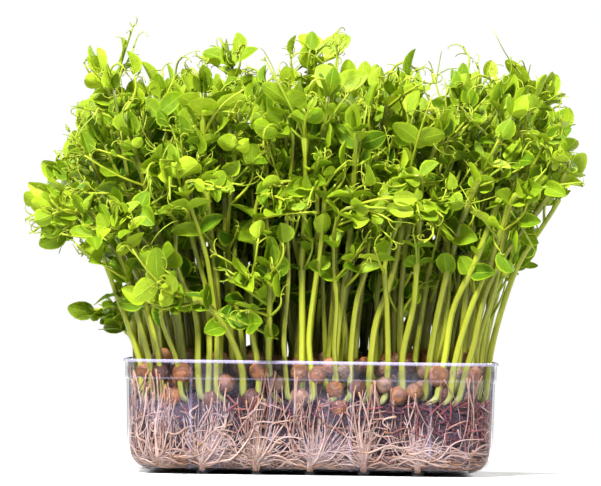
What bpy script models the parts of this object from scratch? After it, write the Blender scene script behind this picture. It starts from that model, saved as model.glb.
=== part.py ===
"""Pea shoots growing in a clear plastic punnet: tray, roots, compost, sprouted peas and leafy shoots.

Metres, +Z up. The origin is the middle of the centre rib's underside, on which the tray stands.
The front of the tray faces -Y.
"""

import math
import random
from dataclasses import dataclass, field

import bpy
import numpy as np
from mathutils import Vector

MM = 0.001
SEED = 2611
GAP = 0.3 * MM  # clearance kept between pieces that touch in the real thing

# Tray: half sizes of its wall halfway up, then each level as (height, outset from those half sizes)
HALF_LENGTH = 74.3 * MM
HALF_WIDTH = 53 * MM
CORNER_RADIUS = 18 * MM
CORNER_STEPS = 4
OUTSIDE = [(1.6, -8.5), (2.4, -5.6), (4.4, -2.9), (8, -1.2), (14, -0.6), (38, 0), (39, 0.5), (44.8, 0.6)]
FLANGE = [(44.8, 1.4), (46, 1.4)]
CAVITY = [(2.4, -9.2), (3.1, -6.3), (5, -3.7), (8.4, -2.0), (14, -1.4), (37.7, -0.8), (38.7, -0.3), (46.5, -0.2)]

# Ribs across the base, hollow inside: each level is (height, half thickness, inset of its end from the wall)
RIB_PITCH = 21.6 * MM
RIB_COUNT = 5
RIB_OUTSIDE = [(0, 1.5, 7.0), (0.7, 1.9, 4.8), (2.4, 2.4, 3.2), (4.6, 2.8, 2.2), (9, 2.9, 1.6)]
RIB_CAVITY = [(0.9, 0.9, 7.6), (1.5, 1.2, 5.4), (3.0, 1.6, 4.0), (5.2, 1.9, 3.2), (9, 2.0, 2.7)]
RIB_ROOTS = [(1.25, 0.5, 8.1), (1.9, 0.8, 6.0), (3.2, 1.1, 4.8), (5.2, 1.4, 4.2), (7, 1.4, 4.2)]
RIB_CORNER = 0.45 * MM

# Filling, as (height, distance in from the tray's inner wall)
ROOT_SLAB = [(2.75, 0.7), (3.5, 0.35), (5.5, 0.35), (8.7, 0.35)]
COMPOST = [(9.1, 4.5), (13, 2.5), (26.1, 2.2)]
SEED_SLAB = [(26.4, 2.8), (27.4, 2.0), (36, 2.0), (37.2, 4.4)]

# Roots that climb the wall out of the slab
ROOT_RADIUS = 0.68 * MM
ROOT_DEPTH = 1.15 * MM  # how far a root's middle is from the inner wall
ROOT_FOOT = 6.5 * MM
FAN_SPREAD = 9 * MM
ROOTS_PER_FAN = 3

# Peas
PEA_RADIUS = 4.4 * MM
PEA_SIDES = 6
PEA_BANDS = 4
PEA_COUNT = 38
PEA_SPACING = 8.3 * MM
PEA_LEVEL = 38 * MM  # height of a pea's middle, out in the open
PEA_SINK = 6.5 * MM  # how far down the wall the lowest pea sits
PEA_MARGIN = PEA_RADIUS + 1.4 * MM + GAP  # from its middle to the tray's wall halfway up

# Shoots
SHOOT_COUNT = 52
SHOOT_SPACING = 9 * MM
SHOOT_MARGIN = 6.1 * MM  # from a stem's foot to the tray's wall halfway up
SHOOT_FOOT = 33 * MM
CANOPY_TOP = 153 * MM
CANOPY_SPREAD = 0.42  # how far a tip leans out, as a share of its foot's distance from the middle
LEAN = 6 * MM  # how far a tip leans of itself
WANDER = 3.2 * MM  # how far a stem strays from its curve at the tip
STEM_RADIUS = 1.55 * MM
TIP_RADIUS = 1.05 * MM
STEM_SIDES = 4  # pea stems are nearly square
STEM_RINGS = 6
TENDRIL_RADIUS = 0.95 * MM
TENDRIL_RINGS = 5
BLADE_THICKNESS = 0.7 * MM
BLADE_ROOT = 0.3 * MM  # how far out from the stem's middle a blade starts
LOWEST_LEAF = 54 * MM
REACH_DEEP = 86 * MM
# How far the bunch reaches to the left and the right, as (height, left, right) in millimetres
REACH = [(50, -80, 80), (66, -97, 80), (76, -86, 80), (85, -94, 90), (93, -116, 93), (110, -121, 98)]
REACH += [(117, -122, 112), (125, -114, 110), (140, -104, 109), (157, -98, 104), (172, -98, 86), (189, -92, 70)]

# Shoots that give the bunch its outline in front view, as routes of (x, y, z) in millimetres
OUTLYING_ROUTES = {
    "hooked": [(-27, -47, 33), (-28, -49, 44), (-34, -55, 58), (-43, -60, 69), (-50, -62, 70), (-56, -63, 74)],
    "paired": [(-15, -47, 33), (-17, -49, 45), (-17, -55, 65), (-17.5, -59, 84)],
    "tall_left": [(-59, -8, 33), (-63, -8, 80), (-76, -8, 130), (-87, -8, 163)],
    "tall_mid": [(-30, 5, 33), (-29, 4, 100), (-32, 0, 145), (-34, -2, 166)],
    "tall_centre": [(3, -12, 33), (0, -14, 100), (-3, -15, 145), (-2, -16, 165)],
    "far_left": [(-67, -19, 33), (-71, -23, 68), (-83, -29, 94), (-99, -33, 104)],
    "left_bud": [(-62, 8, 33), (-67, 10, 78), (-84, 14, 105), (-104, 16, 121)],
    "low_left": [(-67, -33, 33), (-70, -35, 50), (-78, -37, 61), (-88, -38, 64)],
    "edge_left": [(-68, 22, 33), (-69, 23, 75), (-74, 24, 115), (-82, 26, 145)],
    "right_bud": [(63, -16, 33), (71, -20, 75), (89, -24, 105), (103, -26, 123)],
    "far_right": [(65, 9, 33), (70, 11, 70), (81, 15, 98), (92, 18, 113)],
    "low_right": [(67, -31, 33), (70, -33, 60), (75, -36, 78), (82, -38, 86)],
    "edge_right": [(68, 24, 33), (74, 26, 62), (81, 27, 92), (88, 28, 115), (95, 29, 138)],
    "top_right": [(60, 0, 33), (72, 0, 90), (86, -2, 138), (94, -2, 154)],
    "bowed": [(23, -47, 33), (25.5, -49, 60), (31, -52, 77), (35, -54, 95), (38, -55, 120), (41, -56, 138)],
}

COLOURS = {  # linear RGB, roughness
    "tray": ((0.86, 0.88, 0.92), 0.12),
    "compost": ((0.02, 0.012, 0.02), 0.95),
    "roots": ((0.72, 0.58, 0.5), 0.6),
    "peas": ((0.45, 0.24, 0.1), 0.55),
    "shoot": ((0.3, 0.5, 0.04), 0.45),
}


def clear_scene():
    for old in list(bpy.data.objects):
        bpy.data.objects.remove(old)


def material(name):
    """The named finish, made on first use."""
    found = bpy.data.materials.get(name)
    if found:
        return found
    made = bpy.data.materials.new(name)
    made.use_nodes = True
    shader = made.node_tree.nodes["Principled BSDF"]
    colour, roughness = COLOURS[name]
    shader.inputs["Base Color"].default_value = (*colour, 1)
    shader.inputs["Roughness"].default_value = roughness
    return made


def solid(name, vertices, faces, finish):
    """An object of these vertices and faces, smooth apart from its creases."""
    mesh = bpy.data.meshes.new(name)
    mesh.from_pydata([tuple(v) for v in vertices], [], faces)
    mesh.validate()
    mesh.shade_smooth()
    mesh.set_sharp_from_angle(angle=math.radians(40))
    mesh.materials.append(material(finish))
    made = bpy.data.objects.new(name, mesh)
    bpy.context.scene.collection.objects.link(made)
    return made


def combine(target, others, operation):
    """Joins the others to the target or cuts them from it, then removes them."""
    group = bpy.data.collections.new("operands")
    bpy.context.scene.collection.children.link(group)
    for other in others:
        bpy.context.scene.collection.objects.unlink(other)
        group.objects.link(other)
    boolean = target.modifiers.new(operation.lower(), "BOOLEAN")
    boolean.operation = operation
    boolean.operand_type = "COLLECTION"
    boolean.collection = group
    boolean.solver = "EXACT"
    boolean.use_self = operation == "UNION"
    bpy.context.view_layer.update()
    graph = bpy.context.evaluated_depsgraph_get()
    result = bpy.data.meshes.new_from_object(target.evaluated_get(graph))
    target.modifiers.remove(boolean)
    target.data = result
    for other in list(group.objects):
        bpy.data.objects.remove(other)
    bpy.data.collections.remove(group)


# Tray, compost and root slab: lofts of rounded rectangles


def rounded_ring(centre_x, half_x, half_y, radius, height, steps):
    """Points anticlockwise round a rounded rectangle at one height."""
    points = []
    for quarter, (sx, sy) in enumerate(((1, 1), (-1, 1), (-1, -1), (1, -1))):
        for step in range(steps + 1):
            angle = math.radians(90 * (quarter + step / steps))
            x = sx * (half_x - radius) + radius * math.cos(angle)
            y = sy * (half_y - radius) + radius * math.sin(angle)
            points.append((centre_x + x, y, height))
    return points


def loft(name, rings, finish):
    """A closed solid through rings of equal count, listed from the bottom."""
    count = len(rings[0])
    vertices = [point for ring in rings for point in ring]
    faces = [list(reversed(range(count)))]
    for level in range(len(rings) - 1):
        low, high = level * count, (level + 1) * count
        for k in range(count):
            following = (k + 1) % count
            faces.append([low + k, low + following, high + following, high + k])
    last = (len(rings) - 1) * count
    faces.append(list(range(last, last + count)))
    return solid(name, vertices, faces, finish)


def tray_ring(height, outset):
    return rounded_ring(
        0,
        HALF_LENGTH + outset * MM,
        HALF_WIDTH + outset * MM,
        CORNER_RADIUS + outset * MM,
        height * MM,
        CORNER_STEPS,
    )


def inner_wall(height):
    """Outset of the tray's inner surface at a height, both in millimetres."""
    heights, outsets = zip(*CAVITY)
    return float(np.interp(height, heights, outsets))


def filling(name, levels, finish):
    """A block that follows the tray's inner wall at the given distances."""
    return loft(name, [tray_ring(z, inner_wall(z) - inset) for z, inset in levels], finish)


def rib(name, index, levels, finish):
    """One bar across the base. Its ends turn up with the foot of the wall."""
    x = (index - (RIB_COUNT - 1) / 2) * RIB_PITCH
    rings = [
        rounded_ring(x, half * MM, HALF_WIDTH - inset * MM, RIB_CORNER, z * MM, 1)
        for z, half, inset in levels
    ]
    return loft(name, rings, finish)


def ribs(levels, finish):
    return [rib(f"rib_{index}", index, levels, finish) for index in range(RIB_COUNT)]


def make_tray():
    tray = loft("tray", [tray_ring(*level) for level in OUTSIDE + FLANGE], "tray")
    combine(tray, ribs(RIB_OUTSIDE, "tray"), "UNION")
    cavity = loft("cavity", [tray_ring(*level) for level in CAVITY], "tray")
    combine(cavity, ribs(RIB_CAVITY, "tray"), "UNION")
    combine(tray, [cavity], "DIFFERENCE")
    return tray


def wall_point(side, along, height, depth):
    """A point in from the inner wall. Side 0 is the front, 1 the right, 2 the back and 3 the left."""
    outset = (inner_wall(height / MM)) * MM - depth
    half = HALF_WIDTH if side in (0, 2) else HALF_LENGTH
    away = half + outset
    if side == 0:
        return Vector((along, -away, height))
    if side == 1:
        return Vector((away, along, height))
    if side == 2:
        return Vector((along, away, height))
    return Vector((-away, along, height))


def root_fans():
    """Foot and spread of each fan of roots: one above each rib's end, two on each short wall."""
    fans = []
    for index in range(RIB_COUNT):
        x = (index - (RIB_COUNT - 1) / 2) * RIB_PITCH
        fans += [(0, x), (2, x)]
    for y in (-14 * MM, 14 * MM):
        fans += [(1, y), (3, y)]
    return fans


def make_roots():
    draw = random.Random(SEED)
    roots = filling("roots", ROOT_SLAB, "roots")
    parts = ribs(RIB_ROOTS, "roots")
    for side, foot in root_fans():
        for k in range(ROOTS_PER_FAN):
            lean = (k / (ROOTS_PER_FAN - 1) - 0.5) * FAN_SPREAD * 1.6
            top = draw.uniform(16, 25) * MM
            spine = []
            for t in (0, 0.4, 1):
                height = ROOT_FOOT + (top - ROOT_FOOT) * t
                sway = lean * (0.12 + 0.88 * t**0.8) + draw.uniform(-0.6, 0.6) * MM * t
                spine.append(wall_point(side, foot + sway, height, ROOT_DEPTH))
            parts.append(tube("root", spine, [ROOT_RADIUS] * len(spine), 3, "roots"))
    combine(roots, parts, "UNION")
    return roots


# Tubes and blades


def tube(name, spine, radii, sides, finish):
    """A closed tube along a spine, with its rings turned as little as possible."""
    vertices = []
    reference = Vector((0.31, -0.95, 0.05))
    for k, point in enumerate(spine):
        ahead = spine[min(k + 1, len(spine) - 1)] - spine[max(k - 1, 0)]
        ahead.normalize()
        across = (reference - ahead * reference.dot(ahead)).normalized()
        reference = across
        beside = ahead.cross(across)
        for side in range(sides):
            angle = math.tau * side / sides
            vertices.append(point + (across * math.cos(angle) + beside * math.sin(angle)) * radii[k])
    faces = [list(reversed(range(sides)))]
    for level in range(len(spine) - 1):
        low, high = level * sides, (level + 1) * sides
        for k in range(sides):
            following = (k + 1) % sides
            faces.append([low + k, low + following, high + following, high + k])
    last = (len(spine) - 1) * sides
    faces.append(list(range(last, last + sides)))
    return solid(name, vertices, faces, finish)


@dataclass
class Blade:
    """One oval leaf blade: its foot, the way it runs, its upper side and its size."""

    foot: Vector
    along: Vector
    upper: Vector
    length: float
    width: float
    fold: float  # rise of its edges, as a share of the distance from the midrib
    arch: float  # droop of its tip, as a share of its length

    def point(self, u, v):
        """The point a share u along the midrib and v, from -1 to 1, across the blade."""
        across = self.upper.cross(self.along)
        half = self.width / 2 * math.sin(math.pi * min(u, 1) ** 0.8) ** 0.7 if u < 1 else 0
        rise = self.fold * abs(v) * half - self.arch * self.length * u * u
        return self.foot + self.along * self.length * u + across * v * half + self.upper * rise

    def balls(self):
        """Points over the blade, for keeping it clear of other plants."""
        points = [self.point(u, v) for u in (0.3, 0.5, 0.7, 0.85) for v in (-0.8, 0, 0.8)]
        return points + [self.point(0.15, 0), self.point(1, 0)]


def blade_solid(blade, ribbed):
    """The blade as a thin closed solid, cut into triangles alike on both faces."""
    stations = (0.28, 0.7)
    outline = [blade.point(0, 0)]
    outline += [blade.point(u, 1) for u in stations]
    outline += [blade.point(1, 0)]
    outline += [blade.point(u, -1) for u in reversed(stations)]
    if ribbed:
        outline += [blade.point(u, 0) for u in stations]
        cut = [(0, 1, 6), (0, 6, 5), (1, 2, 7), (1, 7, 6), (6, 7, 4), (6, 4, 5), (2, 3, 7), (7, 3, 4)]
    else:
        cut = [(0, 1, 5), (1, 2, 4), (1, 4, 5), (2, 3, 4)]
    half = blade.upper * BLADE_THICKNESS / 2
    count = len(outline)
    vertices = [p - half for p in outline] + [p + half for p in outline]
    faces = [list(face) for face in cut]
    faces += [[count + k for k in reversed(face)] for face in cut]
    for k in range(6):
        following = (k + 1) % 6
        faces.append([following, k, count + k])
        faces.append([following, count + k, count + following])
    return solid("blade", vertices, faces, "shoot")


# Growth rule: where each shoot stands, how its stem runs and where its leaves sit


class Room:
    """The space that plants have taken, as balls, each with its owner."""

    def __init__(self):
        self.owners = np.empty(0, int)
        self.centres = np.empty((0, 3))
        self.radii = np.empty(0)

    def is_clear(self, owner, points, radius):
        others = self.owners != owner
        if not others.any():
            return True
        apart = np.array(points)[:, None, :] - self.centres[others][None, :, :]
        reach = radius + self.radii[others]
        return bool((np.einsum("ijk,ijk->ij", apart, apart) > reach**2).all())

    def take(self, owner, points, radius):
        self.owners = np.concatenate([self.owners, np.full(len(points), owner)])
        self.centres = np.concatenate([self.centres, np.array(points)])
        self.radii = np.concatenate([self.radii, np.full(len(points), radius)])


STIPULED = (0, 2)  # of each five shoots, those that keep a pair of stipules in the solids
STEM_ROOM = 2.1 * MM
TENDRIL_ROOM = 1.5 * MM
BLADE_ROOM = 2.3 * MM
SPINE_POINTS = 43
TRIES = 60


@dataclass
class Shoot:
    """One plant above its pea."""

    spine: list
    bud: Blade = None
    blades: list = field(default_factory=list)
    tendrils: list = field(default_factory=list)
    knots: list = field(default_factory=list)


def smooth_route(points, count):
    """Points evenly spread over a smooth curve through the given ones."""
    points = [points[0] * 2 - points[1], *points, points[-1] * 2 - points[-2]]
    last = len(points) - 3
    curve = []
    for k in range(count):
        place = min(k / (count - 1) * last, last - 1e-6)
        span = int(place)
        t = place - span
        a, b, c, d = points[span : span + 4]
        curve.append(
            0.5 * (2 * b + (c - a) * t + (2 * a - 5 * b + 4 * c - d) * t**2 + (3 * b - 3 * c + d - a) * t**3)
        )
    return curve


def within_reach(points):
    """Whether the points stay inside the bunch as a whole."""
    heights, left, right = (np.array(column) * MM for column in zip(*REACH))
    xs, ys, zs = np.array(points).T
    inside = (xs > np.interp(zs, heights, left)) & (xs < np.interp(zs, heights, right))
    inside &= (abs(ys) < REACH_DEEP) & (zs > LOWEST_LEAF) & (zs < heights[-1])
    return bool(inside.all())


def inside_tray(x, y, margin):
    """Whether a foot stands at least this far in from the tray's wall."""
    half_x, half_y, radius = HALF_LENGTH - margin, HALF_WIDTH - margin, CORNER_RADIUS - margin
    dx, dy = abs(x) - (half_x - radius), abs(y) - (half_y - radius)
    if dx > 0 and dy > 0:
        return math.hypot(dx, dy) < radius
    return dx < radius and dy < radius


def scatter(draw, taken, count, spacing, margin):
    """Feet at random places, each at least the spacing from the others and from those taken."""
    found = []
    for _ in range(20000):
        if len(found) == count:
            break
        x = draw.uniform(-HALF_LENGTH, HALF_LENGTH)
        y = draw.uniform(-HALF_WIDTH, HALF_WIDTH)
        near = any(math.hypot(x - a, y - b) < spacing for a, b in taken + found)
        if inside_tray(x, y, margin) and not near:
            found.append((x, y))
    return found


def free_route(draw, x, y):
    """A stem that rises from its foot, leans out with the bunch and wanders a little."""
    rise = CANOPY_TOP - SHOOT_FOOT + draw.uniform(-24, 4) * MM
    lean_x = x * CANOPY_SPREAD + draw.gauss(0, LEAN)
    lean_y = y * CANOPY_SPREAD + draw.gauss(0, LEAN)
    route = [Vector((x, y, SHOOT_FOOT))]
    for t in (0.2, 0.45, 0.7, 1):
        wander = WANDER * t
        route.append(
            Vector(
                (
                    x + lean_x * t**1.7 + draw.uniform(-wander, wander),
                    y + lean_y * t**1.7 + draw.uniform(-wander, wander),
                    SHOOT_FOOT + rise * t,
                )
            )
        )
    return route


def side_of(direction, azimuth):
    """The unit vector across a direction that points nearest to an azimuth."""
    outward = Vector((math.cos(azimuth), math.sin(azimuth), 0))
    return (outward - direction * outward.dot(direction)).normalized()


def leaf_blade(foot, stem, side, lift, length, width):
    """A flat blade that leaves a stem towards one side, lifted from it by an angle."""
    along = (stem * math.sin(lift) + side * math.cos(lift)).normalized()
    upper = (stem * math.cos(lift) - side * math.sin(lift)).normalized()
    return Blade(foot + side * BLADE_ROOT, along, upper, length, width, 0, 0.1)


def grow_pair(draw, room, owner, shoot, place):
    """Two stipules on opposite sides of the stem."""
    knot = int(place * (SPINE_POINTS - 1))
    foot = shoot.spine[knot]
    stem = (shoot.spine[knot + 1] - shoot.spine[knot - 1]).normalized()
    for _ in range(TRIES):
        side = side_of(stem, draw.uniform(0, math.tau))
        lift = math.radians(draw.uniform(15, 60))
        pair = []
        for way in (1, -1):
            length, width = draw.uniform(11, 15) * MM, draw.uniform(8, 10) * MM
            pair.append(leaf_blade(foot, stem, way * side, lift, length, width))
        points = [p for blade in pair for p in blade.balls()]
        if within_reach(points) and room.is_clear(owner, points, BLADE_ROOM):
            room.take(owner, points, BLADE_ROOM)
            shoot.blades += pair
            shoot.knots.append(knot)
            return


def grow_leaf(draw, room, owner, shoot, place):
    """A leaf stalk with two leaflets that ends in a curling tendril."""
    knot = int(place * (SPINE_POINTS - 1))
    foot = shoot.spine[knot]
    stem = (shoot.spine[knot + 1] - shoot.spine[knot - 1]).normalized()
    outward = math.atan2(foot.y, foot.x)
    for _ in range(TRIES):
        azimuth = outward + draw.gauss(0, 1.3)
        side = side_of(stem, azimuth)
        lift = math.radians(draw.uniform(25, 65))
        reach = draw.uniform(26, 40) * MM
        ahead = (stem * math.sin(lift) + side * math.cos(lift)).normalized()
        beside = ahead.cross(stem).normalized()
        curl = draw.uniform(-0.35, 0.35)
        droop = draw.uniform(-0.25, 0.3)
        stalk = []
        for k in range(TENDRIL_RINGS):
            t = k / (TENDRIL_RINGS - 1)
            bend = beside * curl * t * t + Vector((0, 0, -1)) * droop * t * t
            stalk.append(foot + (ahead * t + bend) * reach)
        knee = stalk[2]
        up = beside.cross(ahead).normalized()
        pair = []
        for way in (1, -1):
            length, width = draw.uniform(11, 15) * MM, draw.uniform(8, 10.5) * MM
            swing = draw.uniform(0.4, 0.6)
            along = (beside * way * 0.85 + ahead * swing + up * 0.15).normalized()
            upper = (up - along * up.dot(along)).normalized()
            pair.append(Blade(knee, along, upper, length, width, 0.15, 0.12))
        points = [p for blade in pair for p in blade.balls()]
        if (
            within_reach(points + stalk)
            and room.is_clear(owner, points, BLADE_ROOM)
            and room.is_clear(owner, stalk[1:], TENDRIL_ROOM)
        ):
            room.take(owner, points, BLADE_ROOM)
            room.take(owner, stalk[1:], TENDRIL_ROOM)
            shoot.blades += pair
            shoot.tendrils.append(stalk)
            shoot.knots.append(knot)
            return


def grow_tip(draw, room, owner, shoot):
    """The young leaf at the top of the stem, still folded along its midrib."""
    foot = shoot.spine[-1] * 0.6 + shoot.spine[-2] * 0.4
    stem = (shoot.spine[-1] - shoot.spine[-3]).normalized()
    for _ in range(TRIES):
        upper = side_of(stem, draw.uniform(0, math.tau))
        length, width = draw.uniform(10, 13) * MM, draw.uniform(7.5, 9.5) * MM
        bud = Blade(foot, stem, upper, length, width, 0.5, -0.1)
        if room.is_clear(owner, bud.balls(), BLADE_ROOM):
            room.take(owner, bud.balls(), BLADE_ROOM)
            shoot.bud = bud
            return


def grow_stems(room):
    """The stems of all shoots: the outlying ones first, then the rest scattered between them."""
    routes = [[Vector(p) * MM for p in route] for route in OUTLYING_ROUTES.values()]
    draw = random.Random(SEED + 1)
    feet = [(route[0].x, route[0].y) for route in routes]
    free = scatter(draw, feet, SHOOT_COUNT - len(routes), SHOOT_SPACING, SHOOT_MARGIN)
    shoots = []
    for route in routes:
        shoots.append(Shoot(smooth_route(route, SPINE_POINTS)))
        room.take(len(shoots) - 1, shoots[-1].spine, STEM_ROOM)
    for x, y in free:
        for _ in range(TRIES):
            spine = smooth_route(free_route(draw, x, y), SPINE_POINTS)
            if room.is_clear(len(shoots), spine, STEM_ROOM):
                room.take(len(shoots), spine, STEM_ROOM)
                shoots.append(Shoot(spine))
                break
    return shoots


def grow_shoots():
    """Every shoot with its leaves, each kept clear of the others."""
    room = Room()
    shoots = grow_stems(room)
    draws = [random.Random(SEED + 100 + owner) for owner in range(len(shoots))]
    for owner, shoot in enumerate(shoots):
        grow_tip(draws[owner], room, owner, shoot)
    for owner, shoot in enumerate(shoots):
        grow_leaf(draws[owner], room, owner, shoot, draws[owner].uniform(0.8, 0.92))
    for owner, shoot in enumerate(shoots):
        if owner % 5 in STIPULED:
            grow_pair(draws[owner], room, owner, shoot, draws[owner].uniform(0.5, 0.7))
    return shoots


def make_shoot(name, shoot):
    """The stem with its leaves and tendrils joined into one solid."""
    rings = [round(k * (SPINE_POINTS - 1) / (STEM_RINGS - 1)) for k in range(STEM_RINGS)]
    for knot in shoot.knots:
        nearest = min(range(1, STEM_RINGS - 1), key=lambda k: abs(rings[k] - knot))
        rings[nearest] = knot
    spine = [shoot.spine[k] for k in rings]
    radii = [STEM_RADIUS + (TIP_RADIUS - STEM_RADIUS) * k / (SPINE_POINTS - 1) for k in rings]
    stem = tube(name, spine, radii, STEM_SIDES, "shoot")
    parts = [blade_solid(blade, False) for blade in shoot.blades]
    if shoot.bud:
        parts.append(blade_solid(shoot.bud, True))
    for stalk in shoot.tendrils:
        thin = [TENDRIL_RADIUS * (1 - 0.35 * k / (TENDRIL_RINGS - 1)) for k in range(TENDRIL_RINGS)]
        parts.append(tube("tendril", stalk, thin, 3, "shoot"))
    combine(stem, parts, "UNION")


# Peas: one beside each shoot as far as they go, sunk in the slab that holds them together


def pea_solid(x, y, height):
    """One low-sided ball."""
    sides = PEA_SIDES
    rings = []
    for band in range(1, PEA_BANDS):
        tilt = math.pi * band / PEA_BANDS
        around = PEA_RADIUS * math.sin(tilt)
        z = height - PEA_RADIUS * math.cos(tilt)
        angles = [math.tau * k / sides for k in range(sides)]
        rings.append([(x + around * math.cos(a), y + around * math.sin(a), z) for a in angles])
    vertices = [point for ring in rings for point in ring]
    bottom, top = len(vertices), len(vertices) + 1
    vertices += [(x, y, height - PEA_RADIUS), (x, y, height + PEA_RADIUS)]
    last = (PEA_BANDS - 2) * sides
    faces = []
    for k in range(sides):
        following = (k + 1) % sides
        faces.append([bottom, following, k])
        faces.append([top, last + k, last + following])
        for level in range(PEA_BANDS - 2):
            low, high = level * sides, (level + 1) * sides
            faces.append([low + k, low + following, high + following, high + k])
    return solid("pea", vertices, faces, "peas")


def make_peas(shoots):
    """The layer of peas, with a plain hole for each stem."""
    draw = random.Random(SEED + 2)
    stems = [(shoot.spine[0].x, shoot.spine[0].y) for shoot in shoots]
    places = []
    for _ in range(20000):
        if len(places) == PEA_COUNT:
            break
        x = draw.uniform(-HALF_LENGTH, HALF_LENGTH)
        y = draw.uniform(-HALF_WIDTH, HALF_WIDTH)
        apart = min([math.hypot(x - a, y - b) for a, b in places] + [1])
        clear = min(math.hypot(x - a, y - b) for a, b in stems)
        beside_stem = clear > PEA_RADIUS + STEM_RADIUS * 0.4
        if inside_tray(x, y, PEA_MARGIN) and apart > PEA_SPACING and beside_stem:
            places.append((x, y))
    slab = filling("peas", SEED_SLAB, "peas")
    at_wall = [not inside_tray(x, y, PEA_MARGIN + PEA_RADIUS) for x, y in places]
    heights = [PEA_LEVEL - (draw.uniform(0, PEA_SINK) if low else 0) for low in at_wall]
    combine(slab, [pea_solid(x, y, z) for (x, y), z in zip(places, heights)], "UNION")
    holes = []
    hole_radius = STEM_RADIUS + GAP / math.cos(math.pi / STEM_SIDES)
    for shoot in shoots:
        spine = [shoot.spine[k] for k in (0, 3, 6)]
        spine[0] = spine[0] - Vector((0, 0, GAP))
        holes.append(tube("hole", spine, [hole_radius] * len(spine), STEM_SIDES, "peas"))
    combine(slab, holes, "DIFFERENCE")


def main():
    clear_scene()
    make_tray()
    make_roots()
    filling("compost", COMPOST, "compost")
    shoots = grow_shoots()
    make_peas(shoots)
    names = list(OUTLYING_ROUTES)
    names += [f"{k:02d}" for k in range(len(names) + 1, len(shoots) + 1)]
    for name, shoot in zip(names, shoots):
        make_shoot(f"shoot_{name}", shoot)


main()
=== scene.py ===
"""Pea shoots in a clear punnet: the finished look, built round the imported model.

Metres, +Z up, the front of the tray towards -Y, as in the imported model. The shoots follow the same
growth rule as the solids, so each fine shoot lies where its solid does, and more grow between them.
"""

import math
import random
from dataclasses import dataclass, field

import bpy
import numpy as np
from bpy.props import FloatProperty, FloatVectorProperty, IntProperty, PointerProperty
from mathutils import Euler, Matrix, Vector, noise


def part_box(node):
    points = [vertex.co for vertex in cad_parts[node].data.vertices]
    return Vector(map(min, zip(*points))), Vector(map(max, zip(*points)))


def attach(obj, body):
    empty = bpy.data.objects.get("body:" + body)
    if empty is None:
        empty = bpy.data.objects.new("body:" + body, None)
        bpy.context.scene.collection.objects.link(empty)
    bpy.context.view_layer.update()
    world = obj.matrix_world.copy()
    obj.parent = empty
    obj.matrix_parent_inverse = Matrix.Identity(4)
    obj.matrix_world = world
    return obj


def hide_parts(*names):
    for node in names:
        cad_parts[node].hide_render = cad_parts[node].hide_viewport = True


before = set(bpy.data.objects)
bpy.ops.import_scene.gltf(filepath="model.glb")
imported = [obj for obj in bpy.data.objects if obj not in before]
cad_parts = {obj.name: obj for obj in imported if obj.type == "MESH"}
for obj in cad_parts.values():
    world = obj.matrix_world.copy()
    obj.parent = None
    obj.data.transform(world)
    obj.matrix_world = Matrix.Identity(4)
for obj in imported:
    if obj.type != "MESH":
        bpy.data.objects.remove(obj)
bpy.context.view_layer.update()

bl_info = {
    "name": "Pea shoots in a clear punnet",
    "version": (1, 0, 0),
    "blender": (4, 5, 0),
    "location": "View3D > Sidebar > Pea shoots",
    "description": "Builds a punnet of pea shoots with its roots, compost and peas",
    "category": "Add Mesh",
}

MM = 0.001
SEED = 2611

# Tray: half sizes of its wall halfway up, then each level as (height, outset from those half sizes)
FLANGE_OUTSET = 1.4
RIM_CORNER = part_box("tray")[1]
HALF_LENGTH = round(RIM_CORNER[0] - FLANGE_OUTSET * MM, 5)
HALF_WIDTH = round(RIM_CORNER[1] - FLANGE_OUTSET * MM, 5)
CORNER_RADIUS = 18 * MM
CORNER_STEPS = 14
STRAIGHT_STEPS = 70
OUTSIDE = [(1.6, -8.5), (1.8, -7.2), (2.4, -5.6), (3.3, -4.1), (4.4, -2.9), (6, -1.9), (8, -1.2)]
OUTSIDE += [(11, -0.8), (14, -0.6), (20, -0.45), (26, -0.3), (32, -0.15), (37.6, -0.02), (38.1, 0.05)]
OUTSIDE += [(38.7, 0.4), (39.2, 0.5), (42, 0.55), (44.5, 0.6)]
FLANGE = [(44.75, 0.7), (44.8, 1.15), (44.95, 1.35), (45.4, 1.4), (45.85, 1.3), (46, 1.05)]
CAVITY = [(2.4, -9.2), (2.6, -7.8), (3.1, -6.3), (3.9, -4.8), (5, -3.7), (6.6, -2.7), (8.4, -2.0)]
CAVITY += [(11.2, -1.6), (14, -1.4), (20, -1.25), (26, -1.1), (32, -0.95), (37.3, -0.8), (37.9, -0.75)]
CAVITY += [(38.4, -0.4), (38.9, -0.3), (42, -0.25), (45.6, -0.2), (46.5, 0.1)]
SHOULDER = 38.5 * MM  # height of the bend under the rim
RIM_FROM, RIM_FULL = 44.5 * MM, 44.9 * MM  # heights over which the plastic turns whiter
FLUTES = (-48 * MM, -16 * MM, 16 * MM, 48 * MM)
FLUTE_HALF_WIDTH = 1.6 * MM
FLUTE_DEPTH = 0.45 * MM
FLUTE_FOOT, FLUTE_TOP = 10, 38.2  # millimetres
FLUTE_FADES = (6, 1.5)  # millimetres over which a flute begins and ends

# Hollow ribs across the base: each level is (height, half thickness, inset of its end from the wall)
RIB_PITCH = 21.6 * MM
RIB_COUNT = 5
RIB_OUTSIDE = [(0, 1.5, 7.0), (0.7, 1.9, 4.8), (2.4, 2.4, 3.2), (4.6, 2.8, 2.2), (9, 2.9, 1.6)]
RIB_CAVITY = [(0.9, 0.9, 7.6), (1.5, 1.2, 5.4), (3.0, 1.6, 4.0), (5.2, 1.9, 3.2), (9, 2.0, 2.7)]
RIB_ROOTS = [(1.05, 0.6, 8.0), (1.7, 0.9, 5.9), (3.1, 1.3, 4.5), (5.2, 1.6, 3.8), (7.6, 1.6, 3.8)]
RIB_CORNER = 0.45 * MM

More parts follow.
